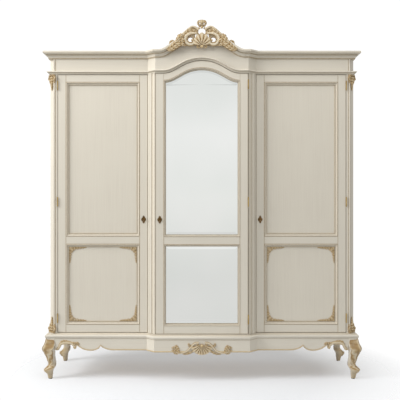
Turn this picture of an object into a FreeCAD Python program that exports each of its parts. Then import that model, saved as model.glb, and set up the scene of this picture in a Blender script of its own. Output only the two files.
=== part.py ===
import FreeCAD, Part
import Sketcher
import math
import os
import re

# A three-door breakfront armoire. +X is to the right, +Y to the back, +Z up.
# The origin is under the middle of the whole piece, on the floor.

V = FreeCAD.Vector

# Driving sizes in millimetres: each is a cell of the sheet, with its own name.
SIZES = {
    # whole piece
    "body_width": 2120,         # over the corner posts
    "body_depth": 540,          # wing front to back
    "break_out": 54,            # how far the centre section stands forward
    "centre_width": 640,        # front of the centre section
    "pilaster_width": 55,       # run of the canted return beside it
    "base_height": 286,         # floor to the top of the legs
    "door_height": 1790,        # wing doors
    "frieze_height": 83,
    # carcass
    "board": 22,
    "top_thickness": 16,
    "back_thickness": 10,
    "post_width": 56,
    "post_depth": 60,
    "post_cant": 35,
    "post_groove": 4,
    "pilaster_back": 52,        # from the wing front to the back of a pilaster
    # mouldings
    "base_moulding": 32,        # height
    "base_nose": 26,            # beyond the body
    "base_out": 18,             # legs and aprons beyond the body
    "astragal_height": 22,
    "astragal_out": 16,
    "cornice_height": 52,
    "cornice_out": 38,
    # arch of the centre door, and of the cornice above it
    "arch_start": 270,          # half width where the arch leaves the level
    "arch_hollow": 165,         # radius of the hollow
    "arch_slope": 29,           # degrees
    "arch_run": 60,             # straight slope
    "neck_start": 300,
    "neck_hollow": 138,
    "neck_slope": 33,
    "neck_run": 90,
    "neck_crown": 70,           # radius that turns the slope level again
    "crest_rise": 208,          # crest above the cornice top
    "crest_thickness": 24,
    "curl_radius": 29,          # top curl of the crest
    # legs and aprons
    "leg_width": 62,
    "knee_out": 21,
    "toe_out": 16,
    "ankle_in": 12,
    "glide_height": 4,
    "glide_radius": 13,
    "apron_depth": 88,          # at its deepest
    "apron_arch": 44,           # how high the cut by the leg rises
    "apron_cusp": 34,
    # doors
    "door_thickness": 24,
    "door_gap": 3,              # above and below
    "lock_gap": 2,
    "hinge_gap": 3,
    "stile": 56,
    "top_rail": 51,
    "middle_rail": 54,
    "bottom_rail": 56,
    "lower_opening": 558,
    "arch_rail": 48,
    "panel_recess": 12,
    "panel_thickness": 10,
    "rebate": 8,
    "panel_clearance": 1,
    "moulding_width": 20,
    "mirror_moulding": 14,
    "moulding_proud": 2,
    "mirror_thickness": 4,
    "corner_length": 120,       # carved corner along the panel
    "corner_thickness": 6,
    # hinges
    "hinge_height": 60,
    "hinge_offset": 5,          # axis in front of the door's face
    "knuckle_radius": 4,
    "hinge_pin_radius": 2,
    "leaf_thickness": 1,
    "leaf_width": 20,
    "hinge_low": 100,           # middle of the lowest hinge above the door's foot
    "hinge_high": 75,           # middle of the highest hinge below the door's top
    # locks
    "lock_height": 785,         # keyhole above the door's foot
    "lock_depth": 14,
    "lock_back": 22,            # case beyond the key, away from the jamb
    "lock_tall": 70,
    "lock_wall": 1.5,
    "key_radius": 2.5,
    "key_clearance": 0.05,
    "key_bit": 7,
    "key_proud": 30,            # bow's outer end in front of the door
    "bolt_travel": 12,
    "bolt_height": 14,
    "bolt_thickness": 5,
    "bolt_clearance": 0.5,
    "escutcheon_height": 52,
    "escutcheon_width": 32,
    "escutcheon_thickness": 1.5,
    # inside
    "side_stile": 60,
    "side_panel": 12,
    "shelf_thickness": 20,
    "shelf_clearance": 1,
    "hat_shelf": 1900,          # underside above the floor
    "rail_height": 1820,
    "rail_radius": 12,
    "rail_play": 3,             # left between a rail's end and the upright
    "socket_radius": 20,
    "socket_length": 12,
    "first_shelf": 700,
    "shelf_step": 355,
    "pin_radius": 3.5,
    "pin_length": 18,
    "pin_inset": 8,
    "pin_from_edge": 30,
}

# Places worked out from the sizes.
PLACES = {
    "depth": "body_depth + break_out + cornice_out",
    "back_y": "depth / 2",
    "wing_y": "back_y - body_depth",
    "centre_y": "wing_y - break_out",
    "half": "body_width / 2",
    "post_x": "half - post_width",
    "centre_x": "centre_width / 2",
    "pilaster_x": "centre_x + pilaster_width",
    "partition_x": "centre_x + pilaster_width / 2",
    "inner_x": "half - board",
    "inner_back": "back_y - back_thickness",
    "case_z": "base_height + base_moulding",
    "door_z": "case_z + door_gap",
    "door_top": "door_z + door_height",
    "astragal_z": "door_top + door_gap",
    "cornice_z": "astragal_z + astragal_height + frieze_height",
    "top_z": "cornice_z + cornice_height",
    "height": "top_z + crest_rise",
    "lower_top": "door_z + bottom_rail + lower_opening",
    "upper_foot": "lower_top + middle_rail",
    "wing_lock_x": "pilaster_x + lock_gap",
    "wing_hinge_x": "post_x - hinge_gap",
    "centre_lock_x": "centre_x - lock_gap",
    "centre_hinge_x": "centre_x - hinge_gap",
    "key_z": "door_z + lock_height",
    "pilaster_rear": "wing_y + pilaster_back",
}

doc = FreeCAD.newDocument("armoire")
sheet = doc.addObject("Spreadsheet::Sheet", "Sizes")
for row, (name, number) in enumerate(SIZES.items(), 1):
    sheet.set(f"A{row}", name)
    sheet.set(f"B{row}", str(number))
    sheet.setAlias(f"B{row}", name)
doc.recompute()


def formula(text):
    """The text with each size led back to its cell, and each place to its own formula."""
    def cell(match):
        word = match.group(0)
        if word in PLACES:
            return "(" + formula(PLACES[word]) + ")"
        return "Sizes." + word if word in SIZES else word
    return re.sub(r"[a-z][a-z_]+", cell, text)


def value(text):
    return float(sheet.evalExpression(formula(text)))


class Values:
    """The sheet's sizes and the places worked out from them, as numbers for shapes made in code."""
    def __getattr__(self, name):
        number = value(name)
        setattr(self, name, number)
        return number


at = Values()
nodes = []


# ---------------------------------------------------------------- ways to make a piece

def board(name, x, y, z):
    """A box whose low and high ends along each axis are formulas."""
    box = doc.addObject("Part::Box", name)
    for length, axis, (low, high) in (("Length", "x", x), ("Width", "y", y), ("Height", "z", z)):
        box.setExpression(length, formula(f"({high}) - ({low})"))
        box.setExpression(f"Placement.Base.{axis}", formula(low))
    return box


def rod(name, direction, radius, length, x, y, z):
    """A cylinder from a point given by formulas, along a direction."""
    piece = doc.addObject("Part::Cylinder", name)
    piece.Placement = FreeCAD.Placement(V(), FreeCAD.Rotation(V(0, 0, 1), direction))
    piece.setExpression("Radius", formula(radius))
    piece.setExpression("Height", formula(length))
    for axis, place in (("x", x), ("y", y), ("z", z)):
        piece.setExpression(f"Placement.Base.{axis}", formula(place))
    return piece


def group(name, pieces):
    """Separate solids that share one node."""
    together = doc.addObject("Part::Compound", name)
    together.Links = pieces
    return together


def cut(name, base, tools):
    """The base less the tools."""
    piece = doc.addObject("Part::Cut", name)
    piece.Base = base
    piece.Tool = tools[0] if len(tools) == 1 else group(name + "_cutters", tools)
    return piece


def prism(name, outline, low, high):
    """A body padded up from a sketched outline: its corners are pairs of formulas in plan."""
    body = doc.addObject("PartDesign::Body", name)
    plane = next(f for f in body.Origin.OriginFeatures if f.Role == "XY_Plane")
    sketch = body.newObject("Sketcher::SketchObject", name + "_outline")
    sketch.AttachmentSupport = [(plane, "")]
    sketch.MapMode = "FlatFace"
    corners = [V(value(x), value(y), 0) for x, y in outline]
    for i, corner in enumerate(corners):
        sketch.addGeometry(Part.LineSegment(corner, corners[(i + 1) % len(corners)]))
    for i in range(len(corners)):
        sketch.addConstraint(Sketcher.Constraint("Coincident", i, 2, (i + 1) % len(corners), 1))
    for i, (x, y) in enumerate(outline):
        for kind, place, number in (("DistanceX", x, corners[i].x), ("DistanceY", y, corners[i].y)):
            index = sketch.addConstraint(Sketcher.Constraint(kind, -1, 1, i, 1, number))
            sketch.setExpression(f"Constraints[{index}]", formula(place))
    pad = body.newObject("PartDesign::Pad", name + "_pad")
    pad.Profile = sketch
    pad.setExpression("Length", formula(f"({high}) - ({low})"))
    body.setExpression("Placement.Base.z", formula(low))
    return body


def shaped(name, shape):
    """A piece whose shape is worked out in code from the sheet's values."""
    piece = doc.addObject("Part::Feature", name)
    piece.Shape = shape
    return piece


def node(piece, label=None):
    """Marks a piece as a sub-part of its own."""
    piece.Label = label or piece.Name
    nodes.append(piece)
    return piece


def flip(side, span):
    """A span of formulas on the right, or its mirror image on the left."""
    return span if side > 0 else (f"-({span[1]})", f"-({span[0]})")


def chain(start, *steps):
    """Edges from start: a point ends a straight side, and a (middle, end) pair an arc."""
    edges = []
    here = start
    for step in steps:
        end = step[1] if isinstance(step, tuple) else step
        curve = Part.Arc(here, step[0], end) if isinstance(step, tuple) else Part.LineSegment(here, end)
        edges.append(curve.toShape())
        here = end
    return edges


def wire(edges):
    return Part.Wire(Part.__sortEdges__(edges))


def plate(edges, thickness):
    """A flat plate from a closed outline in X and Z, thickened towards +Y."""
    return Part.Face(wire(edges)).extrude(V(0, thickness, 0))


def sweep(path, section):
    """A moulding: its section carried along the path, with mitred corners."""
    return wire(path).makePipeShell([wire(section)], True, False, 1)


def mirrored(shape):
    return shape.mirror(V(), V(1, 0, 0))


def plan(out):
    """The front outline in plan, left back corner to right back corner, moved outwards."""
    right = [(at.centre_x, at.centre_y), (at.pilaster_x, at.wing_y),
             (at.half, at.wing_y), (at.half, at.back_y)]
    corners = [V(-x, y, 0) for x, y in reversed(right)] + [V(x, y, 0) for x, y in right]
    runs = [(b - a).normalize() for a, b in zip(corners, corners[1:])]
    normals = [V(run.y, -run.x, 0) for run in runs]
    moved = [corners[0] + normals[0] * out]
    for corner, before, after in zip(corners[1:-1], normals, normals[1:]):
        moved.append(corner + (before + after) * (out / (1 + before.dot(after))))
    moved.append(corners[-1] + normals[-1] * out)
    return moved


def slab(out, back, low, high):
    """A board with the plan's front, closed off straight at the back."""
    corners = plan(out)
    corners[0].y = back
    corners[-1].y = back
    edges = chain(corners[0], *corners[1:], corners[0])
    face = Part.Face(Part.Wire(edges))
    face.translate(V(0, 0, low))
    return face.extrude(V(0, 0, high - low))


def arch(half, start, hollow, slope, run, crown, y, z):
    """An arch from -half to half: level, hollow arc, straight slope, round crown, and back down."""
    tilt = math.radians(slope)
    rise = 1 - math.cos(tilt)
    first = V(-start + hollow * math.sin(tilt), y, z + hollow * rise)
    second = first + V(run, 0, run * math.tan(tilt))
    crown = crown or -second.x / math.sin(tilt)
    third = second + V(crown * math.sin(tilt), 0, crown * rise)
    turn = tilt / 2
    low_middle = V(-start + hollow * math.sin(turn), y, z + hollow * (1 - math.cos(turn)))
    high_middle = third + V(-crown * math.sin(turn), 0, crown * (math.cos(turn) - 1))
    level = V(-start, y, z)
    left = chain(level, (low_middle, first), second, (high_middle, third))
    if half > start:
        left = chain(V(-half, y, z), level) + left
    top = chain(third, V(-third.x, y, third.z)) if third.x < -0.01 else []
    return left + top + [mirrored(edge) for edge in reversed(left)]


def door_arch(half, y, z):
    return arch(half, at.arch_start, at.arch_hollow, at.arch_slope, at.arch_run, 0, y, z)


def arch_between(x0, x1, y, z):
    """The door's arch cut off at two uprights that stand inside its hollows, and its two ends."""
    start = at.arch_start
    hollow = at.arch_hollow
    slope_foot = start - hollow * math.sin(math.radians(at.arch_slope))

    def on_hollow(x):
        return V(x, y, z + hollow - math.sqrt(hollow ** 2 - (start - abs(x)) ** 2))

    def shortened(x):
        side = math.copysign(1, x)
        arc = Part.Arc(on_hollow(x), on_hollow((x + side * slope_foot) / 2), on_hollow(side * slope_foot))
        return arc.toShape()

    edges = door_arch(start, y, z)
    return [shortened(x0)] + edges[1:-1] + [shortened(x1)], on_hollow(x0), on_hollow(x1)


def neck_arch(y, z):
    return arch(at.neck_start, at.neck_start, at.neck_hollow, at.neck_slope, at.neck_run,
                at.neck_crown, y, z)


# ---------------------------------------------------------------- base: legs, glides and aprons

def square(x0, x1, y0, y1, z, corner):
    """A level square section with round corners, from its sides."""
    k = corner * (1 - math.sqrt(0.5))
    return wire(chain(
        V(x0 + corner, y0, z),
        V(x1 - corner, y0, z), (V(x1 - k, y0 + k, z), V(x1, y0 + corner, z)),
        V(x1, y1 - corner, z), (V(x1 - k, y1 - k, z), V(x1 - corner, y1, z)),
        V(x0 + corner, y1, z), (V(x0 + k, y1 - k, z), V(x0, y1 - corner, z)),
        V(x0, y0 + corner, z), (V(x0 + k, y0 + k, z), V(x0 + corner, y0, z)),
    ))


def leg_sections():
    """Height as a share of the leg, its outer and inner side from the block's corner, corner radius."""
    wide = at.leg_width
    return [
        (1.00, 0, wide, 4),
        (0.87, -0.4 * at.knee_out, wide, 8),
        (0.75, -at.knee_out, wide - 6, 16),
        (0.55, 2, wide - 8, 16),
        (0.37, at.ankle_in, wide - 2, 14),
        (0.28, -1, wide - 5, 16),
        (0.245, -at.toe_out, wide - 13, 18),
        (0.13, 2, wide - 20, 12),
        (at.glide_height / at.base_height, at.ankle_in, wide - 24, 10),
    ]


def leg(back):
    """A right-hand cabriole leg. In front it turns out on the diagonal, behind it turns out to the side."""
    x = at.half + at.base_out
    y = at.back_y if back else at.wing_y - at.base_out
    levels = []
    for share, outer, inner, corner in leg_sections():
        span = (y - at.leg_width + max(outer, 0), y - max(outer, 0) / 2) if back else (y + outer, y + inner)
        levels.append(square(x - inner, x - outer, *span, share * at.base_height, corner))
    return Part.makeLoft(levels, True, True)


for place, back in (("front", False), ("rear", True)):
    right_leg = leg(back)
    right = shaped(f"leg_{place}_right", right_leg)
    left = shaped(f"leg_{place}_left", mirrored(right_leg))
    if back:
        node(group("rear_legs", [right, left]))
    else:
        node(right)
        node(left)

glide_inset = "half + base_out - leg_width / 2 + 6"
glides = []
for side in (1, -1):
    for place, y in (("front", "wing_y - base_out + leg_width / 2 - 6"), ("rear", "back_y - leg_width / 2")):
        glides.append(rod(f"glide_{place}_{side + 1}", V(0, 0, 1), "glide_radius", "glide_height",
                          f"{side} * ({glide_inset})", y, "0"))
node(group("leg_glides", glides))


def wing_apron():
    """Right wing apron: an arch by the leg, then a lobe, a cusp and a long shallow lobe to the return."""
    top = at.base_height
    foot = top - at.apron_depth
    y = at.wing_y - at.base_out
    outer = at.half + at.base_out - at.leg_width
    inner = plan(at.base_out)[5].x
    arch_top = foot + at.apron_arch
    notch = outer - 150
    lobe = outer - 245
    cusp = outer - 320
    lower = chain(
        V(outer, y, foot + 8), V(outer - 30, y, foot + 6),
        (V(outer - 38, y, arch_top - 6), V(outer - 53, y, arch_top)),
        V(outer - 108, y, arch_top),
        (V(outer - 125, y, arch_top - 5), V(outer - 135, y, foot + 12)),
        V(notch, y, foot + 30),
        (V(outer - 190, y, foot + 10), V(lobe, y, foot)),
        (V(outer - 290, y, foot + 8), V(cusp, y, foot + at.apron_cusp)),
        (V(outer - 350, y, foot + 14), V(outer - 400, y, foot + 3)),
        V(inner, y, foot + 3), V(inner, y, top), V(outer, y, top), V(outer, y, foot + 8),
    )
    return plate(lower, at.board)


apron = wing_apron()
node(shaped("apron_right", apron))
node(shaped("apron_left", mirrored(apron)))


def centre_apron():
    """The front board with its two canted returns, cut from one plan."""
    outer = plan(at.base_out)[2:6]
    inner = plan(at.base_out - at.board)[2:6]
    outline = Part.Face(wire(chain(outer[0], *outer[1:], *reversed(inner), outer[0])))
    foot = at.base_height - at.apron_depth
    outline.translate(V(0, 0, foot))
    board_ring = outline.extrude(V(0, 0, at.apron_depth))
    keep = Part.makeBox(2 * outer[3].x, at.depth, at.apron_depth, V(-outer[3].x, -at.depth, foot))
    return board_ring.common(keep)


node(shaped("apron_centre", centre_apron()))

side_apron_z = ("base_height - apron_depth + 20", "base_height")
side_aprons = []
for side in (1, -1):
    side_apron_x = flip(side, ("half + base_out - board", "half + base_out"))
    side_aprons.append(board(f"apron_side_{side + 1}", side_apron_x,
                             ("wing_y - base_out + leg_width", "back_y - leg_width"), side_apron_z))
back_rail = board("base_back_rail", ("leg_width - half - base_out", "half + base_out - leg_width"),
                  ("back_y - board", "back_y"), side_apron_z)
node(group("base_rails", side_aprons + [back_rail]))


# ---------------------------------------------------------------- mouldings that follow the plan

def section(place, points):
    """A moulding's closed section at the left back corner: (out, up) pairs, or pairs of pairs for arcs."""
    x, y, z = place

    def here(pair):
        return V(x - pair[0], y, z + pair[1])

    steps = [tuple(here(p) for p in step) if isinstance(step[0], tuple) else here(step) for step in points]
    return chain(steps[0], *steps[1:], steps[0])


base_section = [
    (-at.board, 0), (at.base_out + 2, 0),
    ((at.base_nose, 0.38 * at.base_moulding), (at.base_out + 2, 0.75 * at.base_moulding)),
    (10, 0.75 * at.base_moulding), ((3, 0.84 * at.base_moulding), (0, at.base_moulding)),
    (-at.board, at.base_moulding),
]
corners = plan(0)
path = chain(corners[0] + V(0, 0, at.base_height), *[c + V(0, 0, at.base_height) for c in corners[1:]])
node(shaped("base_moulding", sweep(path, section((-at.half, at.back_y, at.base_height), base_section))))

astragal_section = [
    (0, 0), (0.3 * at.astragal_out, 0),
    ((0.4 * at.astragal_out, 0.35 * at.astragal_height), (0.8 * at.astragal_out, 0.5 * at.astragal_height)),
    ((at.astragal_out, 0.75 * at.astragal_height), (0.8 * at.astragal_out, at.astragal_height)),
    (0, at.astragal_height),
]
lip = at.cornice_out
cornice_section = [
    (-at.board, 0), (0.13 * lip, 0), (0.13 * lip, 7),
    ((0.2 * lip, 17), (0.42 * lip, 25)), (0.5 * lip, 25), (0.5 * lip, 29),
    ((0.8 * lip, 31), (0.92 * lip, 38)), (lip, 38), (lip, at.cornice_height),
    (-at.board, at.cornice_height),
]


def wing_run(points, z):
    """A left-hand run of a moulding: along the side, the wing and the return to where the arch starts."""
    stops = plan(0)[:4] + [V(-at.neck_start, at.centre_y, 0)]
    path = chain(*[stop + V(0, 0, z) for stop in stops])
    return sweep(path, section((-at.half, at.back_y, z), points))


def arch_section(points, z):
    """The same section at the left foot of an arch, where the path runs to the right."""
    def here(pair):
        return V(-at.neck_start, at.centre_y - pair[0], z + pair[1])

    steps = [tuple(here(p) for p in step) if isinstance(step[0], tuple) else here(step) for step in points]
    return chain(steps[0], *steps[1:], steps[0])


astragal_run = wing_run(astragal_section, at.astragal_z)
astragal_arch = sweep(door_arch(at.neck_start, at.centre_y, at.astragal_z),
                      arch_section(astragal_section, at.astragal_z))
node(group("astragal", [shaped("astragal_left", astragal_run),
                        shaped("astragal_right", mirrored(astragal_run)),
                        shaped("astragal_arch", astragal_arch)]))

cornice_run = wing_run(cornice_section, at.cornice_z)
node(group("wing_cornices", [shaped("cornice_left", cornice_run),
                             shaped("cornice_right", mirrored(cornice_run))]))

neck = neck_arch(at.centre_y, at.cornice_z)
left_neck = sweep(neck[:2], arch_section(cornice_section, at.cornice_z))
node(group("swan_necks", [shaped("neck_left", left_neck), shaped("neck_right", mirrored(left_neck))]))


# ---------------------------------------------------------------- carcass

node(shaped("bottom_board", slab(-at.board, at.inner_back, at.base_height, at.case_z)))

posts = []
for side in (1, -1):
    outline = [
        ("half", "wing_y + post_cant"), ("half", "wing_y + post_depth"), ("post_x", "wing_y + post_depth"),
        ("post_x", "wing_y"), ("half - post_cant - 2 * post_groove", "wing_y"),
        ("half - post_cant - 2 * post_groove", "wing_y + post_groove"),
        ("half - post_cant - post_groove", "wing_y + post_groove"),
        ("half - post_cant - post_groove", "wing_y"), ("half - post_cant", "wing_y"),
    ]
    outline = [(f"{side} * ({x})", y) for x, y in outline]
    posts.append(prism(f"post_{side + 1}", outline, "case_z", "cornice_z"))
node(group("front_posts", posts))


def pilaster_outline(side):
    outline = [("pilaster_x", "wing_y"), ("centre_x", "centre_y"), ("centre_x", "pilaster_rear"),
               ("pilaster_x", "pilaster_rear")]
    return [(f"{side} * ({x})", y) for x, y in outline]


def bolt_y(face):
    """Bolt's span from front to back: at the back of its lock case."""
    rear = f"{face} + door_thickness + lock_depth - lock_wall - 1"
    return (f"{rear} - bolt_thickness", rear)


def jamb_cuts(name, side, face_x, into, face):
    """Mortise for a bolt and the shallow seat of its strike plate, in a pilaster."""
    low, high = bolt_y(face)
    room = "(bolt_clearance + 0.5)"
    mouth = (f"{low} - {room}", f"{high} + {room}")
    tall = (f"key_z - bolt_height / 2 - {room}", f"key_z + bolt_height / 2 + {room}")
    deep = "(bolt_travel - lock_gap + 3)"
    x = (face_x, f"{face_x} + {deep}") if into > 0 else (f"{face_x} - {deep}", face_x)
    seat = "lock_wall"
    seat_x = (face_x, f"{face_x} + {seat}") if into > 0 else (f"{face_x} - {seat}", face_x)
    mortise = board(name + "_mortise", flip(side, x), mouth, tall)
    plate_y = (f"{low} - 6", f"{high} + 6")
    plate_z = ("key_z - lock_tall / 2", "key_z + lock_tall / 2")
    blank = board(name + "_seat", flip(side, seat_x), plate_y, plate_z)
    solid = board(name + "_plate", flip(side, seat_x), plate_y, plate_z)
    hole = board(name + "_hole", flip(side, x), mouth, tall)
    return [mortise, blank], cut(name + "_strike", solid, [hole])


strikes = []
pilasters = []
for side in (1, -1):
    tools, strike = jamb_cuts(f"wing_{side + 1}", side, "pilaster_x", -1, "wing_y")
    strikes.append(strike)
    if side < 0:
        more, strike = jamb_cuts("centre", side, "centre_x", 1, "centre_y")
        tools += more
        strikes.append(strike)
    blank = prism(f"pilaster_blank_{side + 1}", pilaster_outline(side), "case_z", "cornice_z")
    pilasters.append(cut(f"pilaster_{side + 1}", blank, tools))
node(group("pilasters", pilasters))
node(group("strike_plates", strikes))

upper_z = ("upper_foot", "door_top - top_rail")
lower_z = ("door_z + bottom_rail", "lower_top")
side_y = ("wing_y + post_depth", "back_y")


def grown(span, amount):
    return (f"{span[0]} - {amount}", f"{span[1]} + {amount}")


def pin_places(wing):
    """(y, z) of each shelf pin on one upright: front and back under each shelf."""
    ys = ("wing_y + post_depth + pin_from_edge", "inner_back - pin_from_edge")
    if wing:
        heights = ["hat_shelf - pin_radius"]
    else:
        heights = [f"first_shelf + {i} * shelf_step - pin_radius" for i in range(4)]
    return [(y, z) for y in ys for z in heights]


pins = []


def pin_row(name, start, direction, wing):
    """Shelf pins that stand out of an upright, and the cutters for their holes."""
    row = [rod(f"{name}_{i}", V(direction, 0, 0), "pin_radius", "pin_length", start, y, z)
           for i, (y, z) in enumerate(pin_places(wing))]
    pins.extend(row)
    return row


side_frames = []
side_panels = []
partitions = []
for side in (1, -1):
    s = side + 1
    blank = board(f"side_blank_{s}", flip(side, ("inner_x", "half")), side_y, ("case_z", "cornice_z"))
    opening_y = ("wing_y + post_depth + side_stile", "back_y - side_stile")
    tools = []
    for part, z in (("upper", upper_z), ("lower", lower_z)):
        tools.append(board(f"side_{part}_{s}", flip(side, ("inner_x - 1", "half + 1")), opening_y, z))
        tools.append(board(f"side_{part}_seat_{s}", flip(side, ("inner_x - 1", "inner_x + side_panel")),
                           grown(opening_y, "rebate"), grown(z, "rebate")))
        side_panels.append(board(f"side_panel_{part}_{s}", flip(side, ("inner_x", "inner_x + side_panel")),
                                 grown(opening_y, "(rebate - panel_clearance)"),
                                 grown(z, "(rebate - panel_clearance)")))
    tools += pin_row(f"side_pin_{s}", f"{side} * (inner_x + pin_inset)", -side, True)
    side_frames.append(cut(f"side_frame_{s}", blank, tools))
    blank = board(f"partition_blank_{s}", flip(side, ("partition_x - board / 2", "partition_x + board / 2")),
                  ("pilaster_rear", "inner_back"), ("case_z", "cornice_z - top_thickness"))
    tools = pin_row(f"wing_pin_{s}", f"{side} * (partition_x + board / 2 - pin_inset)", side, True)
    tools += pin_row(f"centre_pin_{s}", f"{side} * (partition_x - board / 2 + pin_inset)", -side, False)
    partitions.append(cut(f"partition_{s}", blank, tools))
node(group("side_frames", side_frames))
node(group("side_panels", side_panels))
node(group("partitions", partitions))
node(group("shelf_pins", pins))

back_z = ("base_height", "cornice_z")
node(group("back_panels", [
    board("back_left", ("-inner_x", "-partition_x"), ("inner_back", "back_y"), back_z),
    board("back_centre", ("-partition_x", "partition_x"), ("inner_back", "back_y"), back_z),
    board("back_right", ("partition_x", "inner_x"), ("inner_back", "back_y"), back_z),
]))

top_blank = shaped("top_blank", slab(-at.board, at.inner_back, at.cornice_z - at.top_thickness, at.cornice_z))
door_room = board("centre_door_room", ("-centre_x", "centre_x"),
                  ("centre_y", "centre_y + door_thickness + door_gap"),
                  ("cornice_z - top_thickness", "cornice_z"))
node(cut("top_board", top_blank, posts + pilasters + [door_room]))

friezes = []
for side in (1, -1):
    friezes.append(board(f"frieze_{side + 1}", flip(side, ("pilaster_x", "post_x")),
                         ("wing_y", "wing_y + board"), ("astragal_z", "cornice_z")))
node(group("wing_friezes", friezes))

lower_edge = door_arch(at.centre_x, at.centre_y, at.astragal_z)
upper_edge = neck_arch(at.centre_y, at.cornice_z)
shoulders = []
for side in (1, -1):
    shoulders += chain(V(side * at.centre_x, at.centre_y, at.astragal_z),
                       V(side * at.centre_x, at.centre_y, at.cornice_z),
                       V(side * at.neck_start, at.centre_y, at.cornice_z))
node(shaped("pediment_board", plate(lower_edge + upper_edge + shoulders, at.board)))


# ---------------------------------------------------------------- shelves and hanging rails

wing_inside = ("partition_x + board / 2", "inner_x")
shelves = []
rails = []
sockets = []
for side in (1, -1):
    s = side + 1
    room = (f"{wing_inside[0]} + shelf_clearance", f"{wing_inside[1]} - shelf_clearance")
    shelves.append(board(f"hat_shelf_{s}", flip(side, room),
                         ("wing_y + post_depth + shelf_clearance", "inner_back - shelf_clearance"),
                         ("hat_shelf", "hat_shelf + shelf_thickness")))
    rail_y = "(wing_y + post_depth + back_y) / 2"
    rail_x = "partition_x + board / 2 + rail_play" if side > 0 else "rail_play - inner_x"
    length = "inner_x - partition_x - board / 2 - 2 * rail_play"
    rail = rod(f"rail_{s}", V(1, 0, 0), "rail_radius", length, rail_x, rail_y, "rail_height")
    rails.append(rail)
    for place, face, turn in (("inner", wing_inside[0], side), ("outer", wing_inside[1], -side)):
        disc = rod(f"socket_{place}_{s}", V(turn, 0, 0), "socket_radius", "socket_length",
                   f"{side} * ({face})", rail_y, "rail_height")
        bore = rod(f"socket_bore_{place}_{s}", V(turn, 0, 0), "rail_radius", "socket_length",
                   f"{side} * ({face}) + {turn} * rail_play", rail_y, "rail_height")
        sockets.append(cut(f"rail_socket_{place}_{s}", disc, [bore]))
for i in range(4):
    z = f"first_shelf + {i} * shelf_step"
    shelves.append(board(f"centre_shelf_{i}", ("shelf_clearance + board / 2 - partition_x",
                                               "partition_x - board / 2 - shelf_clearance"),
                         ("wing_y + post_depth + shelf_clearance", "inner_back - shelf_clearance"),
                         (z, f"{z} + shelf_thickness")))
node(group("shelves", shelves))
node(group("hanging_rails", rails))
node(group("rail_sockets", sockets))


# ---------------------------------------------------------------- doors

def hinge_leaf(x, y, z, side, on_door):
    """One leaf with its knuckles. The carcass leaf carries the pin and the outer knuckles,
    the door leaf the middle one."""
    tall = at.hinge_height
    thin = at.leaf_thickness
    third = tall / 3
    inward = -side if on_door else side
    near = at.hinge_gap / 2 - thin
    x_low = x + (near if inward > 0 else -near - thin)
    reach = at.knuckle_radius + 0.5
    leaf = Part.makeBox(thin, at.leaf_width, tall, V(x_low, y + reach, z - tall / 2))
    spans = [(third + 0.3, third - 0.6)] if on_door else [(0, third), (2 * third, third)]
    pieces = [leaf]
    for low, length in spans:
        foot = V(x, y, z - tall / 2 + low)
        pieces.append(Part.makeCylinder(at.knuckle_radius, length, foot))
        pieces.append(Part.makeBox(thin, reach + 1, length, V(x_low, y, foot.z)))
    solid = pieces[0].fuse(pieces[1:])
    if on_door:
        bore = Part.makeCylinder(at.hinge_pin_radius + at.key_clearance, tall, V(x, y, z - tall / 2))
        return solid.cut(bore)
    pin = Part.makeCylinder(at.hinge_pin_radius, tall, V(x, y, z - tall / 2))
    tips = [Part.makeSphere(at.knuckle_radius, V(x, y, z + up * tall / 2)) for up in (1, -1)]
    return solid.fuse([pin] + tips)


def hinge_heights():
    low = at.door_z + at.hinge_low
    high = at.door_top - at.hinge_high
    return [low, (low + high) / 2, high]


def one(solid):
    """A compound's only solid."""
    return solid.Solids[0] if len(solid.Solids) == 1 else solid


frame_leaves = []


def hinges(name, x, face_y, side):
    """Door leaves of a door's three hinges; the carcass leaves are kept for their shared node."""
    y = face_y - at.hinge_offset
    frame_leaves.extend(shaped(f"{name}_frame_leaf_{i}", one(hinge_leaf(x, y, z, side, False)))
                        for i, z in enumerate(hinge_heights()))
    node(group(f"{name}_hinge_leaves",
               [shaped(f"{name}_door_leaf_{i}", one(hinge_leaf(x, y, z, side, True)))
                for i, z in enumerate(hinge_heights())]))


def ring_on(path, start, wide):
    """A moulding inside an opening: a bead at the frame, a hollow, and a fillet at the panel.
    The path is closed and starts level, at the middle of the opening's foot."""
    deep = at.panel_recess

    def here(across, depth):
        return V(0, depth, across)

    profile = chain(
        here(0, deep), here(0, 0),
        (here(0.15 * wide, -at.moulding_proud), here(0.3 * wide, 0.2 * deep)),
        (here(0.6 * wide, 0.65 * deep), here(0.9 * wide, 0.7 * deep)),
        here(wide, 0.75 * deep), here(wide, deep), here(0, deep),
    )
    near = Part.__sortEdges__([edge.translated(start * -1) for edge in path])
    first = min(range(len(near)), key=lambda i: near[i].firstVertex(True).Point.Length)
    ring = Part.Wire(near[first:] + near[:first]).makePipeShell([wire(profile)], True, False, 1)
    ring.translate(start)
    return ring


def rectangle_ring(x0, x1, z0, z1, y, wide):
    start = V((x0 + x1) / 2, y, z0)
    path = chain(start, V(x1, y, z0), V(x1, y, z1), V(x0, y, z1), V(x0, y, z0), start)
    return ring_on(path, start, wide)


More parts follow.
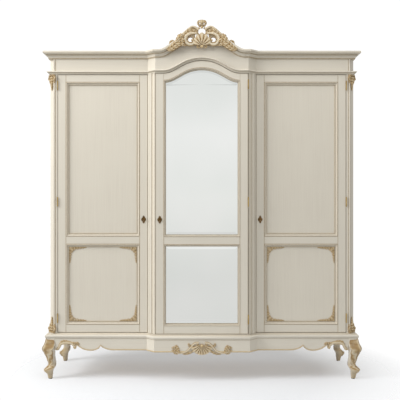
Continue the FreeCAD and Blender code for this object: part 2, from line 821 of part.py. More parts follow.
def lock_parts(name, x, face_y, jamb):
    """Key axis at x; jamb is the side the bolt goes to. Makes escutcheon, case, key and bolt."""
    key = V(x, face_y, at.key_z)
    rear = face_y + at.door_thickness
    wide = at.escutcheon_width / 2
    tall = at.escutcheon_height / 2
    thin = at.escutcheon_thickness
    waist = 0.42
    diamond = []
    for up, out in ((1, 1), (-1, 1), (-1, -1), (1, -1)):
        tip = V(x, face_y, key.z + up * tall)
        flank = V(x + out * wide, face_y, key.z)
        middle = V(x + out * wide * waist, face_y, key.z + up * tall * waist)
        ends = (tip, flank) if up == out else (flank, tip)
        diamond += chain(ends[0], (middle, ends[1]))
    shield = plate(diamond, thin)
    shield.translate(V(0, -thin, 0))
    keyhole = Part.makeCylinder(at.key_radius + 1, 4 * thin, key - V(0, 2 * thin, 0), V(0, 1, 0))
    slot = Part.makeBox(3, 4 * thin, at.key_bit + 4, key + V(-1.5, -2 * thin, -at.key_bit - 4))
    node(shaped(f"{name}_escutcheon", shield.cut(keyhole.fuse(slot))))

    wall = at.lock_wall
    edge = at.stile / 2 - 2
    low = x - at.lock_back if jamb > 0 else x - edge
    box_size = (at.lock_back + edge, at.lock_depth, at.lock_tall)
    corner = V(low, rear, key.z - at.lock_tall / 2)
    case = Part.makeBox(*box_size, corner)
    hollow = Part.makeBox(*[side - 2 * wall for side in box_size], corner + V(wall, wall, wall))
    bearing = Part.makeCylinder(at.key_radius + at.key_clearance, 2 * wall,
                                V(x, rear - wall / 2, key.z), V(0, 1, 0))
    bit_slot = Part.makeBox(3, 2 * wall, at.key_bit + 4, V(x - 1.5, rear - wall / 2, key.z - at.key_bit - 4))
    bolt_low, bolt_high = [value(text) for text in bolt_y(str(face_y))]
    room = at.bolt_clearance
    nose = x + jamb * edge
    throat = Part.makeBox(3 * wall, bolt_high - bolt_low + 2 * room, at.bolt_height + 2 * room,
                          V(nose - 1.5 * wall, bolt_low - room, key.z - at.bolt_height / 2 - room))
    node(shaped(f"{name}_lock_case", case.cut(hollow.fuse([bearing, bit_slot, throat]))))

    shaft_rear = rear + wall + 4
    bow_radius = 8
    shaft_front = face_y - at.key_proud + 2 * bow_radius
    shaft = Part.makeCylinder(at.key_radius, shaft_rear - shaft_front, V(x, shaft_front, key.z), V(0, 1, 0))
    collar = Part.makeCylinder(at.key_radius + 1.5, 2, V(x, shaft_front + 2, key.z), V(0, 1, 0))
    bow = Part.makeTorus(bow_radius - 1.6, 1.6, V(x, shaft_front - bow_radius + 1.2, key.z), V(1, 0, 0))
    bit = Part.makeBox(2, 3, at.key_bit, V(x - 1, rear + wall + 0.7, key.z - at.key_bit))
    node(shaped(f"{name}_key", one(shaft.fuse([collar, bow, bit]))))

    long = at.lock_back - wall - 1 + edge
    bolt = Part.makeBox(long, at.bolt_thickness, at.bolt_height,
                        V(min(nose, nose - jamb * long), bolt_low, key.z - at.bolt_height / 2))
    back_off = at.bolt_travel + 1
    trimmed = Part.makeBox(back_off, at.bolt_thickness, at.bolt_height,
                           V(min(nose - jamb * long, nose - jamb * (long - back_off)), bolt_low,
                             key.z - at.bolt_height / 2))
    node(shaped(f"{name}_bolt", bolt.cut(trimmed)))


def key_passage(name, x, face):
    """Clearance hole for the key through the stile."""
    return rod(name, V(0, 1, 0), "key_radius + key_bit + 1.5", "door_thickness + 2",
               x, f"{face} - 1", "key_z")


def wing_door(name, side):
    s = name + "_"
    face = "wing_y"
    x = ("wing_lock_x", "wing_hinge_x")
    opening_x = ("wing_lock_x + stile", "wing_hinge_x - stile")
    through = (f"{face} - 1", f"{face} + door_thickness + 1")
    behind = (f"{face} + panel_recess", f"{face} + door_thickness + 1")
    panel_y = (f"{face} + panel_recess", f"{face} + panel_recess + panel_thickness")
    blank = board(s + "blank", flip(side, x), (face, f"{face} + door_thickness"), ("door_z", "door_top"))
    tools = []
    panels = []
    rings = []
    for part, z in (("upper", upper_z), ("lower", lower_z)):
        tools.append(board(s + part, flip(side, opening_x), through, z))
        tools.append(board(s + part + "_seat", flip(side, grown(opening_x, "rebate")),
                           behind, grown(z, "rebate")))
        panels.append(board(s + part + "_panel", flip(side, grown(opening_x, "(rebate - panel_clearance)")),
                            panel_y, grown(z, "(rebate - panel_clearance)")))
        x0, x1 = [value(text) for text in flip(side, opening_x)]
        ring = rectangle_ring(x0, x1, value(z[0]), value(z[1]), at.wing_y, at.moulding_width)
        rings.append(shaped(s + part + "_ring", ring))
    key_x = "wing_lock_x + stile / 2"
    tools.append(key_passage(s + "key_hole", f"{side} * ({key_x})", face))
    node(cut(s + "frame", blank, tools))
    node(group(s + "panels", panels))
    node(group(s + "panel_mouldings", rings))
    node(group(s + "corner_ornaments", corner_ornaments(s, side)))
    lock_parts(name, side * value(key_x), at.wing_y, -side)
    hinges(name, side * (at.wing_hinge_x + at.hinge_gap / 2), at.wing_y, side)


def corner_ornaments(name, side):
    """A flat leaf in each corner of the lower panel: a lobe in the corner and two tapering arms."""
    long = at.corner_length
    tall = 0.93 * long
    lobe = 0.29 * long
    y = at.wing_y + at.panel_recess - at.corner_thickness
    leaf = plate(chain(
        V(0, y, 0), V(long, y, 0),
        (V(0.62 * long, y, 0.12 * long), V(lobe * 1.3, y, lobe * 0.6)),
        (V(lobe, y, lobe), V(lobe * 0.6, y, lobe * 1.3)),
        (V(0.12 * long, y, 0.62 * tall), V(0, y, tall)), V(0, y, 0),
    ), at.corner_thickness)
    inset = at.moulding_width
    x0 = at.wing_lock_x + at.stile + inset
    x1 = at.wing_hinge_x - at.stile - inset
    z0 = value(lower_z[0]) + inset
    z1 = value(lower_z[1]) - inset
    leaves = []
    for i, (x, z, flips) in enumerate(((x0, z0, ""), (x1, z0, "x"), (x0, z1, "z"), (x1, z1, "xz"))):
        shape = leaf.copy()
        if "x" in flips:
            shape = shape.mirror(V(), V(1, 0, 0))
        if "z" in flips:
            shape = shape.mirror(V(), V(0, 0, 1))
        shape.translate(V(x, 0, z))
        leaves.append(shaped(f"{name}corner_{i}", shape if side > 0 else mirrored(shape)))
    return leaves


def centre_door():
    """The mirror door. Its top edge, its rail and its upper mirror follow one arch."""
    y = at.centre_y
    left = -at.centre_lock_x
    right = at.centre_hinge_x
    half = at.centre_x
    edge_z = at.door_top
    rail_z = edge_z - at.arch_rail

    def arched(x0, x1, foot, top, depth, thick, wider=0):
        """A plate between two uprights, with a level foot and the arch for its top edge."""
        outline = door_arch(half, y + depth, top)
        for side in (1, -1):
            outline += chain(V(side * half, y + depth, top), V(side * half, y + depth, foot))
        outline += chain(V(-half, y + depth, foot), V(half, y + depth, foot))
        whole = plate(outline, thick)
        return whole.common(Part.makeBox(x1 - x0, thick, at.height, V(x0, y + depth, foot)))

    open_left = left + at.stile
    open_right = right - at.stile
    upper_foot = at.upper_foot
    lower_foot = at.door_z + at.bottom_rail
    lower_top = at.lower_top
    thick = at.door_thickness
    blank = arched(left, right, at.door_z, edge_z, 0, thick)
    grow = at.rebate
    seat = thick - at.panel_recess + 1
    tools = [
        arched(open_left, open_right, upper_foot, rail_z, -1, thick + 2),
        arched(open_left - grow, open_right + grow, upper_foot - grow, rail_z + grow, at.panel_recess, seat),
        Part.makeBox(open_right - open_left, thick + 2, lower_top - lower_foot,
                     V(open_left, y - 1, lower_foot)),
        Part.makeBox(open_right - open_left + 2 * grow, seat, lower_top - lower_foot + 2 * grow,
                     V(open_left - grow, y + at.panel_recess, lower_foot - grow)),
    ]
    key_x = left + at.stile / 2
    tools.append(Part.makeCylinder(at.key_radius + at.key_bit + 1.5, thick + 2,
                                   V(key_x, y - 1, at.key_z), V(0, 1, 0)))
    node(shaped("centre_door_frame", blank.cut(tools[0].fuse(tools[1:]))))

    fit = grow - at.panel_clearance
    for name, depth, plate_thick in (
        ("mirrors", at.panel_recess, at.mirror_thickness),
        ("mirror_backs", at.panel_recess + at.mirror_thickness, at.panel_thickness - at.mirror_thickness),
    ):
        upper = arched(open_left - fit, open_right + fit, upper_foot - fit, rail_z + fit, depth, plate_thick)
        lower = Part.makeBox(open_right - open_left + 2 * fit, plate_thick, lower_top - lower_foot + 2 * fit,
                             V(open_left - fit, y + depth, lower_foot - fit))
        node(group(name, [shaped(f"{name}_upper", upper), shaped(f"{name}_lower", lower)]))

    wide = at.mirror_moulding
    middle = V((open_left + open_right) / 2, y, upper_foot)
    top_edges, left_end, right_end = arch_between(open_left, open_right, y, rail_z)
    path = chain(middle, V(open_right, y, upper_foot), right_end) + top_edges
    path += chain(left_end, V(open_left, y, upper_foot), middle)
    upper_ring = ring_on(path, middle, wide)
    lower_ring = rectangle_ring(open_left, open_right, lower_foot, lower_top, y, wide)
    node(group("mirror_mouldings", [shaped("mirror_ring_upper", upper_ring),
                                    shaped("mirror_ring_lower", lower_ring)]))
    lock_parts("centre_door", key_x, y, -1)
    hinges("centre_door", right + at.hinge_gap / 2, y, 1)


wing_door("left_door", -1)
wing_door("right_door", 1)
centre_door()
node(group("hinge_frame_leaves", frame_leaves))


# ---------------------------------------------------------------- carvings

def post_wrap(levels):
    """A carving round the right post's canted corner: half width and stand-off at each height."""
    cant = at.post_cant
    middle = V(at.half - cant / 2, at.wing_y + cant / 2, 0)
    along = V(1, 1, 0).normalize()
    away = V(1, -1, 0).normalize()
    hoops = []
    for z, half_width, out in levels:
        local = [(-half_width, -20), (-half_width, 0.3 * out), (0, out),
                 (half_width, 0.3 * out), (half_width, -20)]
        points = [middle + along * u + away * v + V(0, 0, z) for u, v in local]
        hoops.append(wire(chain(points[0], *points[1:], points[0])))
    return Part.makeLoft(hoops, True, True)


post_core = Part.makeBox(at.post_width, at.post_depth, at.height, V(at.post_x, at.wing_y, 0))
cant_corner = V(at.half, at.wing_y, 0)
cant_start = cant_corner - V(at.post_cant, 0, 0)
cant_edges = chain(cant_start, cant_corner, cant_corner + V(0, at.post_cant, 0), cant_start)
cant_wedge = Part.Face(wire(cant_edges)).extrude(V(0, 0, at.height))
post_core = post_core.cut(cant_wedge)
capital = post_wrap([(at.astragal_z - 107, 8, 6), (at.astragal_z - 80, 18, 14), (at.astragal_z - 40, 28, 20),
                     (at.astragal_z, 28, 22)]).cut(post_core)
foot_leaf = post_wrap([(at.case_z, 28, 22), (at.case_z + 35, 28, 20), (at.case_z + 70, 16, 14),
                       (at.case_z + 98, 7, 6)]).cut(post_core)
node(group("post_capitals", [shaped("capital_right", one(capital)),
                             shaped("capital_left", mirrored(one(capital)))]))
node(group("post_base_ornaments", [shaped("foot_leaf_right", one(foot_leaf)),
                                   shaped("foot_leaf_left", mirrored(one(foot_leaf)))]))


def apron_shell():
    """Fan of shell flutes with a branch to each side, on the front of the centre apron."""
    y = at.centre_y - at.base_out
    middle = at.base_height - at.apron_depth
    top = middle + 63
    half = 78
    fan = plate(chain(
        V(-half, y, middle + 10), (V(-half / 2, y, middle - 20), V(0, y, middle - 24)),
        (V(half / 2, y, middle - 20), V(half, y, middle + 10)), V(35, y, top),
        (V(0, y, top + 6), V(-35, y, top)), V(-half, y, middle + 10),
    ), -14)
    branch = plate(chain(
        V(half - 20, y, middle + 30), (V(half + 40, y, middle - 12), V(half + 90, y, middle - 8)),
        (V(half + 120, y, middle + 10), V(half + 130, y, middle + 44)), V(half + 95, y, middle + 30),
        (V(half + 40, y, middle + 14), V(half - 40, y, middle + 55)), V(half - 20, y, middle + 30),
    ), -10)
    return one(fan.fuse([branch, mirrored(branch)]).removeSplitter())


def apron_scroll():
    """C-scroll on the right wing apron, round the arch by the leg."""
    y = at.wing_y - at.base_out
    foot = at.base_height - at.apron_depth
    outer = at.half + at.base_out - at.leg_width
    crown = foot + at.apron_arch
    return plate(chain(
        V(outer - 3, y, foot + 8), V(outer - 29, y, foot + 8),
        (V(outer - 38, y, crown - 5), V(outer - 53, y, crown + 1)), V(outer - 108, y, crown + 1),
        (V(outer - 125, y, crown - 4), V(outer - 137, y, foot + 14)), V(outer - 148, y, foot + 31),
        (V(outer - 135, y, foot + 60), V(outer - 112, y, crown + 16)), V(outer - 50, y, crown + 16),
        (V(outer - 20, y, crown), V(outer - 3, y, foot + 8)),
    ), -8)


scroll = apron_scroll()
node(group("apron_carvings", [shaped("apron_shell", apron_shell()), shaped("apron_scroll_right", scroll),
                              shaped("apron_scroll_left", mirrored(scroll))]))


def crest():
    """Pierced crest: a plate between the swan necks, two scroll rings, a shell and a top curl."""
    y = at.centre_y - at.crest_thickness
    foot = at.cornice_z + 92
    top = at.height

    def p(x, up):
        return V(x, y, foot + up)

    tall = top - foot
    curl = at.curl_radius
    boss = at.cornice_out - at.crest_thickness - 2
    right = [
        p(0, -33), (p(40, -28), p(70, -10)), p(150, -10), p(215, -25), p(262, -19),
        (p(215, 8), p(174, 33)), (p(122, 92), p(65, 129)), p(0.8 * curl, tall - 1.6 * curl),
        (p(curl, tall - curl), p(0, tall)), p(0, -33),
    ]
    half_plate = plate(chain(right[0], *right[1:]), at.crest_thickness)
    eye = Part.makeCylinder(20, 2 * at.crest_thickness, p(71, 30) - V(0, at.crest_thickness, 0), V(0, 1, 0))
    gap = plate(chain(p(0, 63), p(24, 63), (p(24, 82), p(0, 90)), p(0, 63)), 2 * at.crest_thickness)
    gap.translate(V(0, -at.crest_thickness / 2, 0))
    ring = Part.makeCylinder(31, boss, p(83, 30) - V(0, boss, 0), V(0, 1, 0))
    half_crest = half_plate.fuse(ring).cut(eye.fuse(gap))
    fan = chain(p(-30, -20), (p(0, -34), p(30, -20)), p(48, 40), (p(0, 76), p(-48, 40)), p(-30, -20))
    shell = plate(fan, -boss)
    whole = half_crest.fuse([mirrored(half_crest), shell]).removeSplitter()
    whole = whole.cut(left_neck.fuse(mirrored(left_neck)))
    return max(whole.Solids, key=lambda solid: solid.Volume)


node(shaped("crest_carving", crest()))


# ---------------------------------------------------------------- check and write

doc.recompute()
for item in doc.Objects:
    if "Invalid" in item.State or "Error" in item.State:
        raise RuntimeError(f"{item.Name} did not rebuild: {item.State}")
for piece in nodes:
    if piece.Shape.isNull() or not piece.Shape.isValid() or not piece.Shape.Solids:
        raise RuntimeError(f"{piece.Label} has no valid solid")

os.makedirs("parts", exist_ok=True)
for piece in nodes:
    piece.Shape.exportStep(f"parts/{piece.Label}.step")
print(len(nodes), "sub-parts written")
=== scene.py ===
from math import cos, pi, radians, sin, sqrt, tan

import bpy
import numpy as np
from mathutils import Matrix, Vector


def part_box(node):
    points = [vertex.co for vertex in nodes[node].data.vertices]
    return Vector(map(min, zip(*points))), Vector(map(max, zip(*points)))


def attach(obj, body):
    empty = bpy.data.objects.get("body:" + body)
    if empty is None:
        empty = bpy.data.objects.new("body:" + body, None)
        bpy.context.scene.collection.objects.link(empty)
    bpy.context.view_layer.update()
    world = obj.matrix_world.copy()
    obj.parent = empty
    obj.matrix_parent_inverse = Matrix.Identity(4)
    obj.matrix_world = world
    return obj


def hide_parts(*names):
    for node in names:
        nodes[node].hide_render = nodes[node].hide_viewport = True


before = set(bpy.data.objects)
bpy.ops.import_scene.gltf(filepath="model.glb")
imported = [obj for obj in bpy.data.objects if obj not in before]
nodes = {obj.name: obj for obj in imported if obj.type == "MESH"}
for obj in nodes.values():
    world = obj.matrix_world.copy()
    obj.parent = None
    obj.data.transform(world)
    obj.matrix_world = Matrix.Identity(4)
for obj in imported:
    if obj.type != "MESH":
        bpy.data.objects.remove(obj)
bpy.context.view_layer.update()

mm = 0.001


def spans(node):
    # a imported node's low and high x, then y, then z, in millimetres
    low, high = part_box(node)
    return [round(value / mm, 3) for pair in zip(low, high) for value in pair]


# places of the carcass in millimetres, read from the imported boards
half = spans("front_posts")[1]
backY = spans("back_panels")[3]
doorInner, doorOuter, wingY, doorBack, doorFoot, doorTop = spans("right_door_frame")
centreLeft, centreRight, centreY = spans("centre_door_frame")[:3]
centreX = spans("pediment_board")[1]
pilasterX = spans("pilasters")[1]
caseFoot = spans("front_posts")[4]
corniceFoot = spans("wing_cornices")[4]
crestTop = spans("crest_carving")[5]
openingX = spans("right_door_panel_mouldings")[:2]
openingZ = spans("right_door_panel_mouldings")[4:]
glideTop = spans("leg_glides")[5]
print("frame read,", len(nodes), "nodes")

# camera: level, straight in front, with the small shift of the framing
cameraLook = {"place": (0, -4.776, 1.2515), "lens": 58.95, "shift": (-0.00475, -0.00375)}
camera = bpy.data.objects.new("camera", bpy.data.cameras.new("camera"))
camera.location = cameraLook["place"]
camera.rotation_euler = (pi / 2, 0, 0)
camera.data.lens = cameraLook["lens"]
camera.data.shift_x, camera.data.shift_y = cameraLook["shift"]
bpy.context.scene.collection.objects.link(camera)
bpy.context.scene.camera = camera


# shapes: a dictionary of points, faces with four corners, faces with three, and how gilt and glazed each
# point is

def volumeSign(points, quads, tris):
    # sum of the signed tetrahedra under each face
    fans = [quads[:, [0, 1, 2]], quads[:, [0, 2, 3]], tris]
    a, b, c = [np.concatenate([points[fan[:, i]] for fan in fans]) for i in range(3)]
    return np.sign(np.einsum("ij,ij->i", a, np.cross(b, c)).sum())


def loft(loops, glaze=0, gilt=0, ring=False):
    # skin between neighbouring closed loops; each end is a fan to its own middle, or the ends meet in a
    # ring
    count, corners = loops.shape[:2]
    index = np.arange(count * corners).reshape(count, corners)
    rows = np.vstack([index, index[:1]]) if ring else index
    here, there = rows[:-1], rows[1:]
    quads = np.stack([here, np.roll(here, -1, 1), np.roll(there, -1, 1), there], -1).reshape(-1, 4)
    points = loops.reshape(-1, 3)
    marks = [np.broadcast_to(mark, (count, corners)).astype(float) for mark in (glaze, gilt)]
    values = [mark.reshape(-1) for mark in marks]
    tris = np.zeros((0, 3), int)
    if not ring:
        points = np.vstack([points, loops[[0, -1]].mean(1)])
        values = [np.concatenate([value, mark[[0, -1]].mean(1)]) for value, mark in zip(values, marks)]
        first, last = index[0], index[-1]
        centre = np.full(corners, count * corners)
        tris = np.vstack([np.stack([centre, np.roll(first, -1), first], 1),
                          np.stack([centre + 1, last, np.roll(last, -1)], 1)])
    if volumeSign(points, quads, tris) < 0:
        quads, tris = quads[:, ::-1], tris[:, ::-1]
    return {"points": points, "quads": quads, "tris": tris, "glaze": values[0], "gilt": values[1]}


def merge(*shapes):
    starts = np.cumsum([0] + [len(shape["points"]) for shape in shapes])
    joined = {key: np.concatenate([shape[key] for shape in shapes]) for key in ("points", "glaze", "gilt")}
    for key in ("quads", "tris"):
        joined[key] = np.concatenate([shape[key] + start for shape, start in zip(shapes, starts)])
    return joined


def mirrored(shape, axis=0):
    # the reflection in a plane through the origin, with its faces turned to point outwards again
    turned = dict(shape)
    turned["points"] = shape["points"] * np.where(np.arange(3) == axis, -1, 1)
    turned["quads"], turned["tris"] = shape["quads"][:, ::-1], shape["tris"][:, ::-1]
    return turned


def pair(shape):
    return merge(shape, mirrored(shape))


def placed(shape, origin, across, out):
    # local x along across, local -y along out, local z up
    moved = dict(shape)
    x, y, z = shape["points"].T
    moved["points"] = (np.array(origin) + np.outer(x, across) - np.outer(y, out) + np.outer(z, (0, 0, 1)))
    return moved


def outline(start, *steps, count=8):
    # a step that is one point ends a straight side; (via, end) is a parabola through via, close to an arc
    line = [np.array([start], float)]
    for step in steps:
        here = line[-1][-1]
        if isinstance(step[0], tuple):
            via, end = np.array(step[0], float), np.array(step[1], float)
            t = np.linspace(0, 1, count + 1)[1:, None]
            pull = 2 * via - (here + end) / 2
            line.append((1 - t) ** 2 * here + 2 * t * (1 - t) * pull + t ** 2 * end)
        else:
            line.append(np.array([step], float))
    return np.concatenate(line)


def easy(knots, values, at):
    # cubic through the knots with the slopes of their neighbours, so that it stays smooth
    knots, values = np.array(knots, float), np.array(values, float)
    slopes = np.gradient(values, knots)
    i = np.clip(np.searchsorted(knots, at) - 1, 0, len(knots) - 2)
    gap = knots[i + 1] - knots[i]
    t = (at - knots[i]) / gap
    return ((1 + 2 * t) * (1 - t) ** 2 * values[i] + t * (1 - t) ** 2 * gap * slopes[i]
            + t ** 2 * (3 - 2 * t) * values[i + 1] + t ** 2 * (t - 1) * gap * slopes[i + 1])


def smoothPath(stops, count):
    # a smooth line through a few stops, evenly shared out by their distance
    stops = np.array(stops, float)
    reach = np.concatenate([[0], np.cumsum(np.linalg.norm(np.diff(stops, axis=0), axis=1))])
    at = np.linspace(0, reach[-1], count)
    return np.stack([easy(reach, column, at) for column in stops.T], 1)


def mitres(path, closed):
    # the left-hand normal at each corner, lengthened so that the sides keep their distance
    steps = np.roll(path, -1, 0) - path if closed else np.diff(path, axis=0)
    steps = steps / np.linalg.norm(steps, axis=1, keepdims=True)
    before = np.roll(steps, 1, 0) if closed else np.vstack([steps[:1], steps])
    after = steps if closed else np.vstack([steps, steps[-1:]])
    left = [np.stack([-run[:, 1], run[:, 0]], 1) for run in (before, after)]
    return (left[0] + left[1]) / (1 + (left[0] * left[1]).sum(1, keepdims=True))


def carryPlan(profile, path, closed=False):
    # profile columns: out to the right of the path, up, glaze; the path lies level
    out = -mitres(path, closed)[:, None, :] * profile[None, :, :1]
    flat = path[:, None, :] + out
    up = np.broadcast_to(profile[None, :, 1:2], flat.shape[:2] + (1,))
    return loft(np.concatenate([flat, up], 2), glaze=profile[None, :, 2], ring=closed)


def carryFront(profile, path, y, closed=False, gilt=0):
    # profile columns: across to the left of the path, depth towards the back, glaze; the path stands
    # upright
    side = path[:, None, :] + mitres(path, closed)[:, None, :] * profile[None, :, :1]
    depth = np.broadcast_to(y + profile[None, :, 1], side.shape[:2])
    loops = np.stack([side[..., 0], depth, side[..., 1]], -1)
    return loft(loops, glaze=profile[None, :, 2], gilt=gilt, ring=closed)


def plank(x, y, z, bevel=1.2, soft=3, stain=0.5):
    # a rectangle with bevelled corners carried upwards; the glaze fades from the edges over the soft width
    def stops(low, high):
        fade = min(soft, (high - low) / 4)
        return np.array([low + bevel, low + bevel + fade, high - bevel - fade, high - bevel])

    xs, ys = stops(*x), stops(*y)
    section = np.concatenate([
        np.stack([xs, np.full(4, y[0])], 1), np.stack([np.full(4, x[1]), ys], 1),
        np.stack([xs[::-1], np.full(4, y[1])], 1), np.stack([np.full(4, x[0]), ys[::-1]], 1)])
    edge = np.tile([stain, 0, 0, stain], 4)
    levels = np.concatenate([[z[0]], stops(*z), [z[1]]])
    ends = np.array([stain, stain, 0, 0, stain, stain])
    middle = section.mean(0)
    size = section.max(0) - middle
    shrink = np.where(np.arange(6)[:, None, None] % 5 == 0, 1 - bevel / size, 1)
    flat = middle + (section - middle)[None] * shrink
    height = np.broadcast_to(levels[:, None, None], (6, 16, 1))
    return loft(np.concatenate([flat, height], 2), glaze=np.maximum(edge[None], ends[:, None]))


def boardBetween(x, low, high, front, back, bevel=1.2, soft=4, stain=0.6):
    # a board whose lower and upper edges are heights at each x
    fade = np.minimum(soft, (high - low) / 4)
    rows = [(back, low), (front + bevel, low), (front, low + bevel), (front, low + bevel + fade),
            (front, high - bevel - fade), (front, high - bevel), (front + bevel, high), (back, high)]
    loops = np.stack([np.stack([x, np.full_like(x, y), z + 0 * x], 1) for y, z in rows], 1)
    return loft(loops, glaze=np.array([[0, stain, stain, 0, 0, stain, stain, 0]]))


def tube(path, radius, sides=12, flat=1.0, glaze=0.0, gilt=1.0, turn=(0, 1, 0)):
    # an oval carried along a line in space; flat squeezes it along turn, and its edges are glazed and gilt
    path = np.array(path, float)
    radius = np.broadcast_to(radius, len(path))[:, None, None]
    along = np.gradient(path, axis=0)
    along /= np.linalg.norm(along, axis=1, keepdims=True)
    deep = np.array(turn, float)
    side = np.cross(along, deep)
    side /= np.linalg.norm(side, axis=1, keepdims=True)
    rise = np.cross(side, along)
    angle = np.linspace(0, 2 * pi, sides, endpoint=False)
    ring = side[:, None] * np.cos(angle)[None, :, None] + rise[:, None] * flat * np.sin(angle)[None, :,
                                                                                               None]
    stain = glaze + 0.75 * np.clip(np.abs(np.cos(angle)) - 0.55, 0, 1) / 0.45
    edged = gilt + (1 - gilt) * np.clip((np.abs(np.cos(angle)) - 0.45) / 0.25, 0, 1)
    return loft(path[:, None] + ring * radius, glaze=stain[None], gilt=edged[None])


def volute(centre, size, turns, y, start=0.0, hand=1, thick=0.3, rise=6.0, sides=10):
    # a tube on a spiral that closes in on an eye: the radius falls steadily with the angle
    t = np.linspace(0, 1, 22 * max(turns, 1) + 1)
    angle = start + hand * 2 * pi * turns * t
    reach = size * (1 - thick / 2) * (1 - 0.86 * t)
    path = np.stack([centre[0] + reach * np.cos(angle), y - rise * t * 0.7,
                     centre[1] + reach * np.sin(angle)], 1)
    return merge(tube(path, size * thick * (0.6 - 0.2 * t), sides, flat=1.0),
                 boss(centre, size * 0.27, y - rise * 0.7, rise))


def boss(centre, size, y, height, tall=1.0, gilt=1.0):
    # half an ellipsoid in front of y and a shallow one behind it
    t = np.linspace(0.02, 0.98, 9)[:, None]
    angle = np.linspace(0, 2 * pi, 14, endpoint=False)[None]
    reach = np.sin(pi * t) * size
    depth = np.where(np.cos(pi * t) > 0, -height, 0.5 * height) * np.abs(np.cos(pi * t))
    loops = np.stack([centre[0] + reach * np.cos(angle), y + depth + 0 * angle,
                      centre[1] + tall * reach * np.sin(angle)], -1)
    return loft(loops, glaze=0.8 * (np.abs(np.cos(pi * t)) < 0.5), gilt=gilt)


def leaf(stops, width, y, height=8.0, lobes=4, lean=0.35, cup=0.35, tip=0.15, gilt=1.0, back=3.0,
         notch=0.38):
    # an acanthus leaf along a smooth spine: lobed edges that lean forward, a vein in the middle and ribs to
    # each lobe
    count = 10 * lobes + 7
    spine = smoothPath(stops, count)
    normal = mitres(spine, False)
    along = np.stack([normal[:, 1], -normal[:, 0]], 1)
    t = np.linspace(0, 1, count)[:, None]
    s = np.linspace(-1, 1, 15)[None]
    body = np.minimum(1, 0.35 + 5 * t) * (1 - t ** 3) ** 0.8 + tip * t
    beat = np.abs(np.sin(pi * lobes * t))
    wide = width * body * (1 - notch + notch * beat ** 0.6)
    reach = s * wide
    flow = lean * np.abs(s) ** 1.5 * wide
    x = spine[:, :1] + normal[:, :1] * reach + along[:, :1] * flow
    z = spine[:, 1:] + normal[:, 1:] * reach + along[:, 1:] * flow
    vein = np.exp(-(s / 0.12) ** 2)
    crown = np.cos(pi / 2 * np.abs(s) ** 1.6) ** 0.7
    rib = 0.5 + 0.5 * np.cos(2 * pi * (lobes * t + 0.9 * np.abs(s)))
    lift = height * (0.25 + 0.75 * body) * (crown * (0.62 + 0.38 * rib) - cup * vein)
    lift = lift * np.sin(pi * np.clip(t, 0.02, 0.985)) ** 0.25
    stain = np.clip(0.95 * vein + 0.75 * (1 - rib) ** 2 + 0.8 * np.abs(s) ** 6, 0, 1)
    front = np.stack([x, y - lift, z], -1)
    rear = np.stack([x, np.full_like(x, y + back), z], -1)[:, ::-1]
    rear[..., 1] -= 0.5 * back * (np.abs(s[:, ::-1]) > 0.95)
    bright = gilt * (1 - 0.7 * rib ** 4 * (np.abs(s) < 0.85))
    return loft(np.concatenate([front, rear], 1), glaze=np.concatenate([stain, 0 * stain + 0.8], 1),
                gilt=np.concatenate([bright, 0 * bright + gilt], 1))


def shell(centre, radius, sweep, flutes, y, height, foot=0.12, down=False, gilt=1.0, open=0.07, squash=0.0):
    # a fan of flutes round a low centre: the rim scallops with each flute and the fan swells at half its
    # reach
    t = np.linspace(foot, 1, 16)[:, None]
    angle = np.linspace(-sweep, sweep, 8 * flutes + 1)[None]
    beat = np.abs(np.cos(pi * flutes * (angle / sweep + 1) / 2 + pi / 2)) ** 0.7
    reach = radius * t * (1 - open + open * beat * t) * (1 - squash * (np.abs(angle) / sweep) ** 1.3)
    way = -1 if down else 1
    x = centre[0] + reach * np.sin(angle)
    z = centre[1] + way * reach * np.cos(angle)
    lift = height * (0.35 + 0.65 * np.sin(pi * np.clip(t, 0, 0.93)) ** 0.6) * (0.45 + 0.55 * beat)
    front = np.stack([x, y - lift, z], -1)
    rear = np.stack([x, np.full_like(x, y + 2.0), z], -1)[:, ::-1]
    stain = np.clip(1 - beat, 0, 1) ** 1.2 * 0.95 + 0 * t
    bright = gilt * (1 - 0.75 * np.clip(beat - 0.8, 0, 1) / 0.2) + 0 * t
    return loft(np.concatenate([front, rear], 1), glaze=np.concatenate([stain, 0 * stain + 0.8], 1),
                gilt=np.concatenate([bright, 0 * bright + gilt], 1))


def makePiece(name, shape, material, body="carcass", stands=(), sharp=38):
    mesh = bpy.data.meshes.new(name)
    faces = shape["quads"].tolist() + shape["tris"].tolist()
    mesh.from_pydata((shape["points"] * mm).tolist(), [], faces)
    for key in ("glaze", "gilt"):
        mark = mesh.attributes.new(key, "FLOAT", "POINT")
        mark.data.foreach_set("value", shape[key].astype(np.float32))
    mesh.polygons.foreach_set("use_smooth", np.ones(len(faces), bool))
    mesh.set_sharp_from_angle(angle=radians(sharp))
    mesh.materials.append(material)
    piece = bpy.data.objects.new(name, mesh)
    bpy.context.scene.collection.objects.link(piece)
    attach(piece, body)
    if stands:
        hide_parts(*stands)
    return piece


# finishes

def linear(hexColour):
    # sRGB hex to linear light
    values = np.array([int(hexColour[i:i + 2], 16) for i in (1, 3, 5)]) / 255
    return (*np.where(values <= 0.04045, values / 12.92, ((values + 0.055) / 1.055) ** 2.4), 1.0)


def addNode(tree, kind, inputs=None, output=0, **settings):
    # one node: settings are its properties, inputs its sockets by name or number, each a value or another
    # node's output; what comes back is one of its outputs
    node = tree.nodes.new("ShaderNode" + kind)
    for name, value in settings.items():
        setattr(node, name, value)
    for name, value in (inputs or {}).items():
        if isinstance(value, bpy.types.NodeSocket):
            tree.links.new(value, node.inputs[name])
        else:
            node.inputs[name].default_value = value
    return node.outputs[output]


def newFinish(name, **shader):
    material = bpy.data.materials.new(name)
    material.use_nodes = True
    tree = material.node_tree
    principled = tree.nodes["Principled BSDF"]
    for socket, value in shader.items():
        principled.inputs[socket.replace("_", " ")].default_value = value
    place = addNode(tree, "TexCoord", output="Object")
    return material, tree, principled, place


